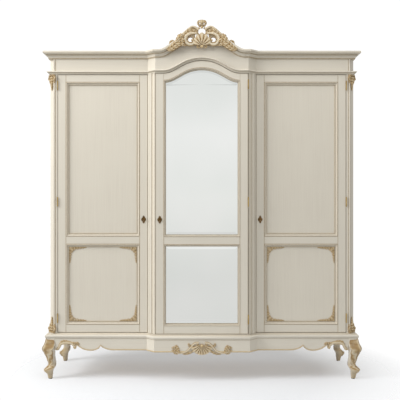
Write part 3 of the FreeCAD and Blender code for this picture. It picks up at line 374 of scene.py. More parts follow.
def joinUp(tree, principled, sockets):
    for name, value in sockets.items():
        tree.links.new(value, principled.inputs[name])


def perMetre(spacing):
    # how many blotches of that size in millimetres fit in a metre
    return 1 / (spacing * mm)


def stretched(spacing, grain, long):
    # the same along each axis, with the blotches long times their width along the grain
    return tuple(perMetre(spacing) / (long if axis == grain else 1) for axis in "xyz")


colourMix = {"output": 2, "data_type": "RGBA"}       # makes a Mix node mix two colours

lacquerLook = {
    "ivory": "#e3dccd",          # ground coat
    "ivoryShade": "#ddd5c6",     # where the glaze was wiped thinner or thicker
    "glaze": "#9a7f4e",          # brown glaze left in the hollows
    "gold": "#c2a36c",           # gold paint on carving
    "goldLight": "#d9c49a",
    "streakSpacing": 5.0,        # brush marks, mm apart; drawn coarser than the real 1 mm so that they show
    "bristle": 1.2,              # mm, the fine marks inside each
    "streakLength": 60,          # how much longer than wide a mark is
    "streakDepth": 0.00005,      # m
    "blotch": 160.0,             # mm
    "wear": 9.0,                 # mm, patches where gold and glaze are thinner
    "metal": 0.55,               # of the gold paint
}


def brushedLacquer(name, grain):
    # satin lacquer, brushed by hand and glazed: warm ivory with faint streaks along the wood, browner in
    # the hollows, and a soft low sheen
    look = lacquerLook
    material, tree, principled, place = newFinish(name, Roughness=0.42, IOR=1.5, Coat_Weight=0.12,
                                                  Coat_Roughness=0.3)
    strokes = stretched(look["streakSpacing"], grain, look["streakLength"])
    along = addNode(tree, "Mapping", {"Vector": place, "Scale": strokes})
    streaks = addNode(tree, "TexNoise", {"Vector": along, "Scale": 1, "Detail": 4, "Roughness": 0.6})
    streaked = addNode(tree, "MapRange", {"Value": streaks, "From Min": 0.35, "From Max": 0.7})
    clouds = addNode(tree, "TexNoise", {"Vector": place, "Scale": perMetre(look["blotch"]), "Detail": 2,
                                        "Roughness": 0.5})
    clouded = addNode(tree, "MapRange", {"Value": clouds, "From Min": 0.3, "From Max": 0.7, "To Min": 0.35})
    shade = addNode(tree, "Math", {0: streaked, 1: clouded}, operation="MULTIPLY")
    ground = addNode(tree, "Mix", {0: shade, 6: linear(look["ivory"]), 7: linear(look["ivoryShade"])},
                     **colourMix)
    glaze = addNode(tree, "Attribute", output="Fac", attribute_name="glaze")
    gilt = addNode(tree, "Attribute", output="Fac", attribute_name="gilt")
    worn = addNode(tree, "TexNoise", {"Vector": place, "Scale": perMetre(look["wear"]), "Detail": 4,
                                      "Roughness": 0.65})
    bright = addNode(tree, "MapRange", {"Value": worn, "From Min": 0.35, "From Max": 0.65})
    gold = addNode(tree, "Mix", {0: bright, 6: linear(look["gold"]), 7: linear(look["goldLight"])},
                   **colourMix)
    painted = addNode(tree, "Mix", {0: gilt, 6: ground, 7: gold}, **colourMix)
    left = addNode(tree, "MapRange", {"Value": worn, "From Min": 0.3, "From Max": 0.6, "To Min": 0.55})
    stain = addNode(tree, "Math", {0: glaze, 1: left}, operation="MULTIPLY")
    coloured = addNode(tree, "Mix", {0: stain, 6: painted, 7: linear(look["glaze"])}, **colourMix)
    bare = addNode(tree, "Math", {0: 1.0, 1: stain}, operation="SUBTRACT")
    paint = addNode(tree, "Math", {0: gilt, 1: look["metal"]}, operation="MULTIPLY")
    metal = addNode(tree, "Math", {0: paint, 1: bare}, operation="MULTIPLY")
    bristles = stretched(look["bristle"], grain, look["streakLength"])
    along = addNode(tree, "Mapping", {"Vector": place, "Scale": bristles})
    fine = addNode(tree, "TexNoise", {"Vector": along, "Scale": 1, "Detail": 2, "Roughness": 0.5})
    faint = addNode(tree, "Math", {0: fine, 1: 0.4}, operation="MULTIPLY")
    height = addNode(tree, "Math", {0: streaks, 1: faint}, operation="ADD")
    bump = addNode(tree, "Bump", {"Height": height, "Distance": look["streakDepth"], "Strength": 0.6})
    joinUp(tree, principled, {"Base Color": coloured, "Metallic": metal, "Normal": bump})
    return material


giltLook = {
    "gold": "#c6a570",
    "goldLight": "#e3d0a6",
    "ground": "#94744a",         # clay-brown ground that shows in the hollows
    "ivory": "#e0d5be",          # pale highlights where the gold is rubbed through
    "rubSpacing": 6.0,           # mm
    "patch": 28.0,               # mm, where it is rubbed most
    "rubDepth": 0.0004,          # m
    "metal": 0.6,
}


def giltCarving():
    # gold paint over a brown ground on carved limewood, rubbed back by hand: warm half-metal with pale
    # highlights and brown hollows
    look = giltLook
    material, tree, principled, place = newFinish("gold painted limewood carving", Roughness=0.42)
    glaze = addNode(tree, "Attribute", output="Fac", attribute_name="glaze")
    gilt = addNode(tree, "Attribute", output="Fac", attribute_name="gilt")
    rub = addNode(tree, "TexNoise", {"Vector": place, "Scale": perMetre(look["rubSpacing"]), "Detail": 4,
                                     "Roughness": 0.6})
    bright = addNode(tree, "MapRange", {"Value": rub, "From Min": 0.35, "From Max": 0.65})
    gold = addNode(tree, "Mix", {0: bright, 6: linear(look["gold"]), 7: linear(look["goldLight"])},
                   **colourMix)
    patches = addNode(tree, "TexNoise", {"Vector": place, "Scale": perMetre(look["patch"]), "Detail": 2,
                                         "Roughness": 0.5})
    rubbed = addNode(tree, "MapRange", {"Value": patches, "From Min": 0.48, "From Max": 0.66,
                                        "To Max": 0.6})
    plain = addNode(tree, "Math", {0: 1.0, 1: gilt}, operation="SUBTRACT")
    pale = addNode(tree, "Math", {0: rubbed, 1: plain}, operation="MAXIMUM")
    painted = addNode(tree, "Mix", {0: pale, 6: gold, 7: linear(look["ivory"])}, **colourMix)
    left = addNode(tree, "MapRange", {"Value": rub, "From Min": 0.3, "From Max": 0.6, "To Min": 0.7})
    stain = addNode(tree, "Math", {0: glaze, 1: left}, operation="MULTIPLY")
    coloured = addNode(tree, "Mix", {0: stain, 6: painted, 7: linear(look["ground"])}, **colourMix)
    dull = addNode(tree, "Math", {0: stain, 1: pale}, operation="MAXIMUM")
    bare = addNode(tree, "Math", {0: 1.0, 1: dull}, operation="SUBTRACT")
    metal = addNode(tree, "Math", {0: bare, 1: look["metal"]}, operation="MULTIPLY")
    bump = addNode(tree, "Bump", {"Height": rub, "Distance": look["rubDepth"], "Strength": 0.5})
    joinUp(tree, principled, {"Base Color": coloured, "Metallic": metal, "Normal": bump})
    return material


woodLook = {
    "pale": "#c9ab7c", "dark": "#a98556",
    "ringSpacing": 14.0,         # mm across the grain
    "rings": 7.0,                # bands in each
    "poreSpacing": 4.5,          # mm; drawn coarser than the real 1 mm so that they show
    "long": 18,                  # how much longer than wide the figure is
    "poreDepth": 0.0001,         # m
}


def veneer(name, grain, pale, dark):
    # birch veneer under clear satin varnish: long soft figure with fine pores along the grain
    look = woodLook
    material, tree, principled, place = newFinish(name, Roughness=0.45, IOR=1.5)
    ringScale = stretched(look["ringSpacing"], grain, look["long"])
    along = addNode(tree, "Mapping", {"Vector": place, "Scale": ringScale})
    figure = addNode(tree, "TexNoise", {"Vector": along, "Scale": 1, "Detail": 3, "Roughness": 0.6})
    bands = addNode(tree, "Math", {0: figure, 1: look["rings"]}, operation="MULTIPLY")
    wave = addNode(tree, "Math", {0: bands}, operation="FRACT")
    poreScale = stretched(look["poreSpacing"], grain, look["long"])
    along = addNode(tree, "Mapping", {"Vector": place, "Scale": poreScale})
    pores = addNode(tree, "TexNoise", {"Vector": along, "Scale": 1, "Detail": 2, "Roughness": 0.5})
    waveShare = addNode(tree, "Math", {0: wave, 1: 0.45}, operation="MULTIPLY")
    poreShare = addNode(tree, "Math", {0: pores, 1: 0.55}, operation="MULTIPLY")
    tone = addNode(tree, "Math", {0: waveShare, 1: poreShare}, operation="ADD")
    depth = addNode(tree, "MapRange", {"Value": tone, "From Min": 0.2, "From Max": 0.85})
    coloured = addNode(tree, "Mix", {0: depth, 6: linear(pale), 7: linear(dark)}, **colourMix)
    bump = addNode(tree, "Bump", {"Height": pores, "Distance": look["poreDepth"], "Strength": 0.5})
    joinUp(tree, principled, {"Base Color": coloured, "Normal": bump})
    return material


def metalFinish(name, bright, dark, roughness, spot, grain="z", long=1):
    # metal with a worked surface: bright and dull patches, and fine marks 1 mm apart along its length
    material, tree, principled, place = newFinish(name, Roughness=roughness, Metallic=1.0)
    patches = addNode(tree, "TexNoise", {"Vector": place, "Scale": perMetre(spot), "Detail": 4,
                                         "Roughness": 0.6})
    dulled = addNode(tree, "MapRange", {"Value": patches, "From Min": 0.4, "From Max": 0.66})
    coloured = addNode(tree, "Mix", {0: dulled, 6: linear(bright), 7: linear(dark)}, **colourMix)
    along = addNode(tree, "Mapping", {"Vector": place, "Scale": stretched(1.0, grain, long)})
    marks = addNode(tree, "TexNoise", {"Vector": along, "Scale": 1, "Detail": 2, "Roughness": 0.5})
    rough = addNode(tree, "MapRange", {"Value": marks, "From Min": 0.2, "From Max": 0.8,
                                       "To Min": roughness - 0.08, "To Max": roughness + 0.12})
    bump = addNode(tree, "Bump", {"Height": marks, "Distance": 0.00004, "Strength": 0.5})
    joinUp(tree, principled, {"Base Color": coloured, "Roughness": rough, "Normal": bump})
    return material


def silveredGlass():
    # float glass silvered behind: a clear bright reflection, very slightly grey-green and wavy over 400 mm
    material, tree, principled, place = newFinish("silvered bevelled float glass", Roughness=0.025,
                                                  Metallic=1.0)
    drift = addNode(tree, "TexNoise", {"Vector": place, "Scale": perMetre(400.0), "Detail": 1,
                                       "Roughness": 0.4})
    tint = addNode(tree, "MapRange", {"Value": drift, "From Min": 0.3, "From Max": 0.7})
    coloured = addNode(tree, "Mix", {0: tint, 6: linear("#f4f5f4"), 7: linear("#edf0ee")}, **colourMix)
    bump = addNode(tree, "Bump", {"Height": drift, "Distance": 0.0002, "Strength": 0.2})
    joinUp(tree, principled, {"Base Color": coloured, "Normal": bump})
    return material


def mouldedPlastic():
    # black moulded polyethylene glide: dull, faintly scuffed in marks 3 mm across
    material, tree, principled, place = newFinish("black moulded polyethylene", Roughness=0.6, IOR=1.51)
    scuffs = addNode(tree, "TexNoise", {"Vector": place, "Scale": perMetre(3.0), "Detail": 3,
                                        "Roughness": 0.6})
    coloured = addNode(tree, "Mix", {0: scuffs, 6: linear("#1d1b19"), 7: linear("#35322e")}, **colourMix)
    bump = addNode(tree, "Bump", {"Height": scuffs, "Distance": 0.00008, "Strength": 0.5})
    joinUp(tree, principled, {"Base Color": coloured, "Normal": bump})
    return material


uprightLacquer = brushedLacquer("hand-brushed ivory lacquer, upright", "z")
levelLacquer = brushedLacquer("hand-brushed ivory lacquer, level", "x")
gilded = giltCarving()
birchUpright = veneer("varnished birch veneer, upright", "z", woodLook["pale"], woodLook["dark"])
birchLevel = veneer("varnished birch veneer, level", "x", woodLook["pale"], woodLook["dark"])
bronze = metalFinish("cast antique bronze", "#8e6f45", "#4a3823", 0.42, 7.0)
brass = metalFinish("turned polished brass", "#c9ad78", "#a98d58", 0.34, 30.0, "x", 40)
steel = metalFinish("zinc-plated pressed steel", "#c3c5c6", "#9fa2a5", 0.34, 18.0, "z", 12)
glass = silveredGlass()
plastic = mouldedPlastic()
print("finishes made")

carried = {
    "side_frames": uprightLacquer, "side_panels": uprightLacquer, "wing_friezes": levelLacquer,
    "pediment_board": levelLacquer, "front_posts": uprightLacquer, "pilasters": uprightLacquer,
    "left_door_panels": uprightLacquer, "right_door_panels": uprightLacquer, "base_rails": levelLacquer,
    "bottom_board": birchLevel, "top_board": birchLevel, "shelves": birchLevel, "back_panels": birchUpright,
    "partitions": birchUpright, "mirror_backs": birchUpright, "hanging_rails": brass, "rail_sockets": brass,
    "hinge_frame_leaves": brass, "left_door_hinge_leaves": brass, "right_door_hinge_leaves": brass,
    "centre_door_hinge_leaves": brass, "shelf_pins": steel, "strike_plates": steel,
    "left_door_lock_case": steel,
    "right_door_lock_case": steel, "centre_door_lock_case": steel, "left_door_bolt": steel,
    "right_door_bolt": steel, "centre_door_bolt": steel, "left_door_key": bronze, "right_door_key": bronze,
    "centre_door_key": bronze, "left_door_escutcheon": bronze, "right_door_escutcheon": bronze,
    "centre_door_escutcheon": bronze, "leg_glides": plastic,
}
for nodeName, finish in carried.items():
    for materialSlot in nodes[nodeName].material_slots:
        materialSlot.material = finish

# mouldings that follow the front of the carcass

planPath = np.array([(-half, backY), (-half, wingY), (-pilasterX, wingY), (-centreX, centreY),
                     (centreX, centreY), (pilasterX, wingY), (half, wingY), (half, backY)])
archShape = {"start": 270, "hollow": 165, "slope": 29, "run": 60, "crown": None}
neckShape = {"start": 300, "hollow": 138, "slope": 33, "run": 90, "crown": 70}


def archLine(reach, z, shape, count=14):
    # level, hollow arc, straight slope, crown arc, and the same back down; x rises all the way
    tilt = radians(shape["slope"])
    turn = np.linspace(0, tilt, count)
    hollow = np.stack([-shape["start"] + shape["hollow"] * np.sin(turn),
                       z + shape["hollow"] * (1 - np.cos(turn))], 1)
    second = hollow[-1] + np.array([shape["run"], shape["run"] * tan(tilt)])
    crown = shape["crown"] or -second[0] / sin(tilt)
    third = second + crown * np.array([sin(tilt), 1 - cos(tilt)])
    top = third + crown * np.stack([-np.sin(turn[::-1]), np.cos(turn[::-1]) - 1], 1)
    level = [(-reach, z)] if reach > shape["start"] else []
    left = np.concatenate([np.array(level).reshape(-1, 2), hollow, top])
    right = left[::-1] * np.array([-1, 1])
    return np.concatenate([left, right[1:] if abs(left[-1, 0]) < 1e-6 else right])


def archHeight(x, z, shape):
    line = archLine(shape["start"] + 100, z, shape)
    return np.interp(x, line[:, 0], line[:, 1])


def hollowsStained(profile):
    # glaze where a closed profile turns inwards: the sharper the hollow, the darker
    before, after = profile - np.roll(profile, 1, 0), np.roll(profile, -1, 0) - profile
    turn = before[:, 0] * after[:, 1] - before[:, 1] * after[:, 0]
    area = (profile[:, 0] * np.roll(profile[:, 1], -1) - profile[:, 1] * np.roll(profile[:, 0], -1)).sum()
    size = np.linalg.norm(before, axis=1) * np.linalg.norm(after, axis=1) + 1e-9
    inward = np.clip(-np.sign(area) * turn / size, 0, 1)
    return np.column_stack([profile, 0.95 * np.clip(1.6 * inward, 0, 1)])


def fineProfile(profile, step=2.0):
    # extra points on the long straight sides, so that the glaze stays close to the corners
    ends = np.roll(profile, -1, 0)
    lengths = np.linalg.norm(ends - profile, axis=1)
    shares = [np.array([0.0]) if length < 2.5 * step else np.array([0, step / length, 1 - step / length])
              for length in lengths]
    return np.concatenate([a + np.outer(share, b - a) for a, b, share in zip(profile, ends, shares)])


baseLook = {"out": 18}           # how far the legs and aprons stand forward of the doors
baseFoot, baseTop = spans("base_moulding")[4:]
tall = baseTop - baseFoot
baseProfile = outline((-22, 0), (20, 0), ((26, 0.38 * tall), (20, 0.74 * tall)), (13, 0.76 * tall),
                      (12, 0.84 * tall), ((4, 0.88 * tall), (0.5, tall)), (-22, tall))
baseShape = hollowsStained(fineProfile(baseProfile))
baseShape[:, 1] += baseFoot
makePiece("base_moulding_profile", carryPlan(baseShape, planPath), levelLacquer,
          stands=["base_moulding"])

astragalProfile = outline((0, 0), (4, 0), (4.5, 3), ((6, 8), (11, 10)), (11.5, 11.5),
                          ((16, 16), (11.5, 21)), (8, 22), (0, 22))
astragalShape = hollowsStained(fineProfile(astragalProfile))
astragalFoot = spans("astragal")[4]
cornicePlan = np.concatenate([planPath[:4], [(-neckShape["start"], centreY)]])


def atHeight(profile, z):
    return profile + np.array([0, z, 0])


def archCarried(profile, path):
    # the same profile along an upright path: out becomes forward, up becomes across
    front = np.column_stack([profile[:, 1], -profile[:, 0], profile[:, 2]])
    return carryFront(front, path, centreY)


astragalRun = carryPlan(atHeight(astragalShape, astragalFoot), cornicePlan)
astragalArch = archCarried(astragalShape, archLine(neckShape["start"], astragalFoot, archShape))
makePiece("astragal_profile", merge(pair(astragalRun), astragalArch), levelLacquer,
          stands=["astragal"])

corniceProfile = outline((-22, 0), (5, 0), (5, 5), (6.5, 6), ((9, 17), (16, 24)), (17.5, 24), (17.5, 28),
                         (19, 28.5), ((30, 31), (34.5, 37)), (38, 37.5), (38, 50), (36.5, 52), (-22, 52))
corniceShape = fineProfile(corniceProfile)
# glaze in the quirks, and painted shade under each overhang (on the fillets under the cove and the ogee, and
# on the fascia's underside), at steps of the distance out plus a quarter of the height, in millimetres
corniceSteps = [0, 6.2, 7.5, 9, 22.5, 23.6, 25.5, 27, 43, 45.2, 47.2, 48, 80]
corniceGlazeAndShade = [0.3, 0.8, 0.8, 0.1, 0.05, 0.8, 0.8, 0.1, 0.1, 0.9, 0.9, 0.0, 0.0]
corniceGlazeAndShadeLines = np.interp(corniceShape[:, 0] + corniceShape[:, 1] / 4, corniceSteps, corniceGlazeAndShade)
corniceShape = np.column_stack([corniceShape, corniceGlazeAndShadeLines])
corniceRun = carryPlan(atHeight(corniceShape, corniceFoot), cornicePlan)
makePiece("wing_cornice_profiles", pair(corniceRun), levelLacquer,
          stands=["wing_cornices"])
neckLine = archLine(neckShape["start"], corniceFoot, neckShape)
neckStop = neckShape["start"] - neckShape["hollow"] * sin(radians(neckShape["slope"])) - neckShape["run"]
# the swan necks carry the same glaze and painted shade as the cornice
neckRun = archCarried(corniceShape, neckLine[neckLine[:, 0] < 2 - neckStop])
makePiece("swan_neck_profiles", pair(neckRun), levelLacquer, stands=["swan_necks"])
print("mouldings carried")

# reeds on the corner posts and on the canted returns

reedLook = {"beadOut": 4.0, "cant": 35}      # mm: how far the bead stands out, and the cut-off corner


def standing(section, low, high, glaze):
    # a level section carried straight up
    levels = np.array([low, high])[:, None, None]
    flat = np.broadcast_to(section[None], (2,) + section.shape)
    return loft(np.concatenate([flat, np.broadcast_to(levels, (2, len(section), 1))], 2), glaze=glaze[None])


cantStart = half - reedLook["cant"]
t = np.linspace(0, pi, 9)
bead = np.stack([cantStart + 1 - 6.0 * np.cos(t), wingY + 1.0 - reedLook["beadOut"] * np.sin(t)], 1)
bead = np.concatenate([[(cantStart - 11, wingY + 1), (cantStart - 11, wingY - 0.8),
                        (cantStart - 6.5, wingY - 0.8)], bead,
                       [(cantStart + 8.5, wingY + 3.5), (cantStart + 8.5, wingY + 8)]])
beadGlaze = np.array([0.8, 0, 0.9] + [0.95, 0.35, 0, 0, 0, 0, 0, 0.35, 0.95] + [0.9, 0.8])
friezeBead = standing(bead, astragalFoot + 22, corniceFoot, beadGlaze)
makePiece("post_beads", pair(merge(standing(bead, caseFoot, astragalFoot, beadGlaze), friezeBead)),
          uprightLacquer)

run = np.array([centreX - pilasterX, centreY - wingY])
cantWidth = np.linalg.norm(run)
runWay = run / cantWidth
outWay = np.array([-runWay[1], runWay[0]])
if outWay[1] > 0:
    outWay = -outWay
steps = np.array([(0.03, 0, 0), (0.03, 1.6, 0.6), (0.05, 2.0, 0), (0.185, 2.0, 0), (0.205, 1.6, 0.7),
                  (0.21, 0.6, 1), (0.24, 0.6, 1)])
roll = np.stack([0.385 - 0.145 * np.cos(t), 0.8 + 6.0 * np.sin(t), 0.9 * np.abs(np.cos(t)) ** 6], 1)
fillets = np.array([(0.55, 0.5, 1), (0.60, 0.4, 0.9), (0.70, 0.4, 0.8), (0.74, 0.6, 1), (0.76, 2.4, 0.6),
                    (0.78, 2.8, 0), (0.93, 2.8, 0), (0.95, 2.2, 0.7), (0.955, 0, 1)])
reeds = np.concatenate([steps, roll, fillets])
cantCorner = np.array([pilasterX, wingY])
reedPlan = cantCorner + np.outer(reeds[:, 0] * cantWidth, runWay) + np.outer(reeds[:, 1], outWay)
backing = cantCorner + np.outer([0.955 * cantWidth, 0.03 * cantWidth], runWay) - 1.5 * outWay
reedPlan = np.concatenate([reedPlan, backing])
reedGlaze = np.concatenate([reeds[:, 2] * np.where(reeds[:, 0] > 0.94, 1, 0.35), [0, 0]])
makePiece("pilaster_reeds", pair(standing(reedPlan, caseFoot, astragalFoot, reedGlaze)), uprightLacquer)

# doors: stiles and rails, mouldings, mirrors

doorLook = {"lowerOpening": 558, "middleRail": 54, "archRail": 48}         # mm high
lowFoot, highTop = openingZ
middleFoot = lowFoot + doorLook["lowerOpening"]
middleTop = middleFoot + doorLook["middleRail"]
moulding = {"wide": 20.0, "deep": 12.0, "mirrorWide": 14.0, "proud": 2.2}


def ringProfile(wide):
    # a quirk and a round at the frame, a hollow, and a fillet at the panel
    deep, proud = moulding["deep"], moulding["proud"]
    return outline((0, deep), (0, 0.6), (0.07 * wide, 0.6),
                   ((0.22 * wide, -proud), (0.40 * wide, 0.2 * deep)), (0.43 * wide, 0.34 * deep),
                   ((0.62 * wide, 0.66 * deep), (0.86 * wide, 0.70 * deep)), (0.90 * wide, 0.52 * deep),
                   (wide - 0.4, 0.56 * deep), (wide, 0.8 * deep), (wide, deep))


def mouldingRing(corners, y, wide):
    # glazed only in the quirk and where it meets the panel
    profile = fineProfile(ringProfile(wide), 1.0)
    share = profile[:, 0] / wide
    stain = np.interp(share, [0, 0.10, 0.17, 0.36, 0.46, 0.54, 0.84, 0.92, 1],
                      [1, 1, 0, 0, 0.75, 0.1, 0.1, 0.7, 1])
    return carryFront(np.column_stack([profile, stain]), np.array(corners, float), y, closed=True)


def rectangle(x, z):
    return [(x[0], z[0]), (x[1], z[0]), (x[1], z[1]), (x[0], z[1])]


def wingDoor(name, side):
    xs = [(doorInner, openingX[0]), (openingX[1], doorOuter)]
    depth = (wingY, doorBack)
    stiles = [plank(x, depth, (doorFoot, doorTop)) for x in xs]
    railHeights = ((doorFoot, lowFoot), (middleFoot, middleTop), (highTop, doorTop))
    rails = [plank(openingX, depth, z) for z in railHeights]
    rings = [mouldingRing(rectangle(openingX, z), wingY, moulding["wide"])
             for z in ((lowFoot, middleFoot), (middleTop, highTop))]
    turned = (lambda shape: shape) if side > 0 else mirrored
    makePiece(f"{name}_stiles", turned(merge(*stiles)), uprightLacquer, name,
              stands=[f"{name}_frame"])
    makePiece(f"{name}_rails", turned(merge(*rails)), levelLacquer, name,
              stands=[f"{name}_frame"])
    makePiece(f"{name}_moulding_frames", turned(merge(*rings)), uprightLacquer, name,
              stands=[f"{name}_panel_mouldings"])


wingDoor("left_door", -1)
wingDoor("right_door", 1)

mirrorLook = {"bevel": 22.0, "slope": 1.6, "edge": 1.2}
mirrorX = spans("mirror_mouldings")[:2]
mirrorFront, mirrorBack = spans("mirrors")[2:4]
railFoot = doorTop - doorLook["archRail"]


def archedOutline(x, foot, z):
    # an opening or plate with level foot and arched top, counter-clockwise from the low left corner
    top = archLine(archShape["start"], z, archShape)
    inside = top[(top[:, 0] > x[0] + 0.5) & (top[:, 0] < x[1] - 0.5)]
    ends = [(x[0], archHeight(x[0], z, archShape)), (x[1], archHeight(x[1], z, archShape))]
    return np.concatenate([[(x[0], foot), (x[1], foot), ends[1]], inside[::-1], [ends[0]]])


def bevelledMirror(corners):
    # back edge, front edge, then the bevel rises to the flat, which is a fan to its middle
    corners = np.array(corners, float)
    inward = mitres(corners, True)
    rings = [(0, mirrorBack), (0, mirrorFront + mirrorLook["edge"] + mirrorLook["slope"]),
             (0.8, mirrorFront + mirrorLook["slope"]), (mirrorLook["bevel"], mirrorFront),
             (mirrorLook["bevel"] + 0.5, mirrorFront)]
    loops = [np.column_stack([corners + inward * across, np.full(len(corners), y)]) for across, y in rings]
    return loft(np.array(loops)[..., [0, 2, 1]])


margin = moulding["mirrorWide"] - 4.0
glassX = (mirrorX[0] + margin, mirrorX[1] - margin)
upperGlass = bevelledMirror(archedOutline(glassX, middleTop + margin, railFoot - margin))
lowerGlass = bevelledMirror(rectangle(glassX, (lowFoot + margin, middleFoot - margin)))
makePiece("bevelled_mirrors", merge(upperGlass, lowerGlass), glass, "centre_door",
          stands=["mirrors"], sharp=0.8)

centreDepth = (centreY, centreY + doorBack - wingY)
stileWidths = ((centreLeft, mirrorX[0]), (mirrorX[1], centreRight))
stiles = [plank(x, centreDepth, (doorFoot, doorTop)) for x in stileWidths]
archX = np.linspace(mirrorX[0], mirrorX[1], 60)
archRailShape = boardBetween(archX, archHeight(archX, railFoot, archShape),
                             archHeight(archX, doorTop, archShape), *centreDepth)
rails = [plank(mirrorX, centreDepth, z) for z in ((doorFoot, lowFoot), (middleFoot, middleTop))]
makePiece("centre_door_stiles", merge(*stiles), uprightLacquer, "centre_door",
          stands=["centre_door_frame"])
makePiece("centre_door_rails", merge(archRailShape, *rails), levelLacquer, "centre_door",
          stands=["centre_door_frame"])
rings = [mouldingRing(archedOutline(mirrorX, middleTop, railFoot), centreY, moulding["mirrorWide"]),
         mouldingRing(rectangle(mirrorX, (lowFoot, middleFoot)), centreY, moulding["mirrorWide"])]
makePiece("centre_door_mirror_frames", merge(*rings), uprightLacquer, "centre_door",
          stands=["mirror_mouldings"])
print("doors made")

# cabriole legs

legLook = {
    "height": (300, 262, 225, 190, 165, 135, 112, 96, 85, 74, 62, 50, 40, 20, 4),
    # at each height: how far the leg reaches beyond the block, how far in from the block's outer corner,
    # and the power of its squared round
    "outer": (0, 6, 21, 10, -1, -8, -11, -6, 2, 15, 16, 8, -1, -7, -10),
    "inner": (63, 62, 58, 56, 55, 58, 61, 61, 58, 51, 46, 43, 43, 40, 39),
    "corner": (14, 9, 4.2, 3.6, 3.2, 3.0, 2.9, 2.8, 2.8, 2.9, 3.0, 2.8, 2.6, 2.6, 2.6),
    "levels": 64, "sides": 40,
}
blockX = half + baseLook["out"]
blockY = wingY - baseLook["out"]


def legSections(rear, heights):
    # middle, half width across and half depth of the leg at each height
    look = legLook
    heights = np.array(heights) * look["height"][0] / baseFoot

    def at(key):
        return easy(look["height"][::-1], look[key][::-1], heights)

    outer, inner, corner = at("outer"), at("inner"), at("corner")
    low, high = blockX - inner, blockX + outer
    if rear:
        front = backY - 62 + np.maximum(-outer, 0)
        behind = backY - np.maximum(-outer, 0) / 2
    else:
        front, behind = blockY - outer, blockY + inner
    return (low + high) / 2, (high - low) / 2, (front + behind) / 2, (behind - front) / 2, corner


def legSurface(rear, angle, heights, lift=0.0):
    # a squared round: cosine and sine raised to two over the corner's power, at each angle and height
    midX, halfX, midY, halfY, corner = [value[:, None] for value in legSections(rear, heights)]
    power = 2 / corner
    c, s = np.cos(angle), np.sin(angle)
    x = midX + (halfX + lift) * np.sign(c) * np.abs(c) ** power
    y = midY + (halfY + lift) * np.sign(s) * np.abs(s) ** power
    return np.stack([x, y, np.broadcast_to(heights[:, None], x.shape)], -1)


def cabrioleLeg(rear):
    heights = np.linspace(baseFoot, glideTop, legLook["levels"])
    angle = np.linspace(0, 2 * pi, legLook["sides"], endpoint=False)[None]
    loops = legSurface(rear, angle, heights)
    outward = np.clip(np.cos(angle + pi / 4), 0, 1) ** 2
    foot = np.interp(heights, [0, 30, 55, 90, 115, 300], [0.9, 0.7, 0.9, 0.9, 0.25, 0.1])[:, None]
    stain = np.interp(heights, [0, 20, 45, 58, 70, 100, 118, 150, 300],
                      [0.8, 0.6, 0.45, 0.3, 0.1, 0.5, 0.25, 0, 0])
    gilt = np.clip(foot * (0.35 + 0.65 * outward), 0, 1)
    return loft(loops, glaze=stain[:, None] * (1 - 0.5 * outward), gilt=gilt)


def kneeLeaf(rear, top, foot, spread, height, lobes, turn=-pi / 4):
    # an acanthus leaf wrapped on the knee: it stands off the leg by its ribs and narrows to its tip
    count = 12 * lobes
    heights = np.linspace(top, foot, count)
    t = np.linspace(0, 1, count)[:, None]
    s = np.linspace(-1, 1, 25)[None]
    beat = np.abs(np.sin(pi * lobes * t)) ** 0.6
    body = 0.30 + 0.70 * np.sin(pi * np.clip(0.12 + 0.80 * t, 0, 1)) ** 0.8
    wide = spread * body * (0.74 + 0.26 * beat)
    flow = 0.055 * (top - foot) * np.abs(s) ** 1.5
    rib = 0.5 + 0.5 * np.cos(2 * pi * (0.35 * lobes * t + 1.7 * np.abs(s) ** 0.9))
    vein = np.exp(-(s / 0.10) ** 2)
    crown = np.cos(pi / 2 * np.abs(s) ** 3) ** 0.6
    lift = height * (crown * (0.55 + 0.45 * rib) - 0.4 * vein) * np.sin(pi * np.clip(t, 0.03, 0.97)) ** 0.3
    front = np.concatenate([legSurface(rear, turn + s[0][None] * wide[i], heights[i:i + 1], lift[i][None])
                            for i in range(count)])
    front[..., 2] += np.broadcast_to(-flow, front.shape[:2])
    behind = np.concatenate([legSurface(rear, turn + s[0][None, ::-1] * wide[i], heights[i:i + 1], -4.0)
                            for i in range(count)])
    stain = np.clip(0.9 * vein + 0.9 * (1 - rib) ** 1.6 + np.abs(s) ** 8, 0, 1)
    bright = 1 - 0.9 * np.clip(rib - 0.55, 0, 1) / 0.45
    return loft(np.concatenate([front, behind], 1), glaze=np.concatenate([stain, 0 * stain + 0.8], 1),
                gilt=np.concatenate([bright, 0 * bright + 1], 1))


frontLeg = cabrioleLeg(False)
rearLeg = cabrioleLeg(True)
makePiece("front_cabriole_leg_right", frontLeg, uprightLacquer, stands=["leg_front_right"])
makePiece("front_cabriole_leg_left", mirrored(frontLeg), uprightLacquer,
          stands=["leg_front_left"])
makePiece("rear_cabriole_legs", pair(rearLeg), uprightLacquer, stands=["rear_legs"])
knees = merge(kneeLeaf(False, baseFoot - 1, 100, 1.6, 8.5, 5),
              kneeLeaf(True, 266, 160, 0.8, 4.5, 4, turn=-0.5))


def toeRosette():
    # six petals round a bead on the front of the foot
    front = blockY - 5
    angle = np.arange(6) * pi / 3
    middle = (blockX - 16, 62)
    petals = [boss((middle[0] + 9 * cos(way), middle[1] + 10 * sin(way)), 6.2, front, 7) for way in angle]
    return merge(*petals, boss(middle, 6, front - 3, 7))


toes = merge(toeRosette(), kneeLeaf(False, 92, 66, 1.7, 4.0, 2),
             kneeLeaf(True, 88, 40, 0.8, 4.5, 2, turn=-0.35))
makePiece("knee_leaves", pair(merge(knees, toes)), gilded)
print("legs made")

# aprons

apronLook = {"depth": 88, "arch": 44, "board": 22, "bead": 4.0}
apronFoot = baseFoot - apronLook["depth"]
apronOuter = spans("apron_right")[1]
apronInner = spans("apron_right")[0]
archTop = apronFoot + apronLook["arch"]


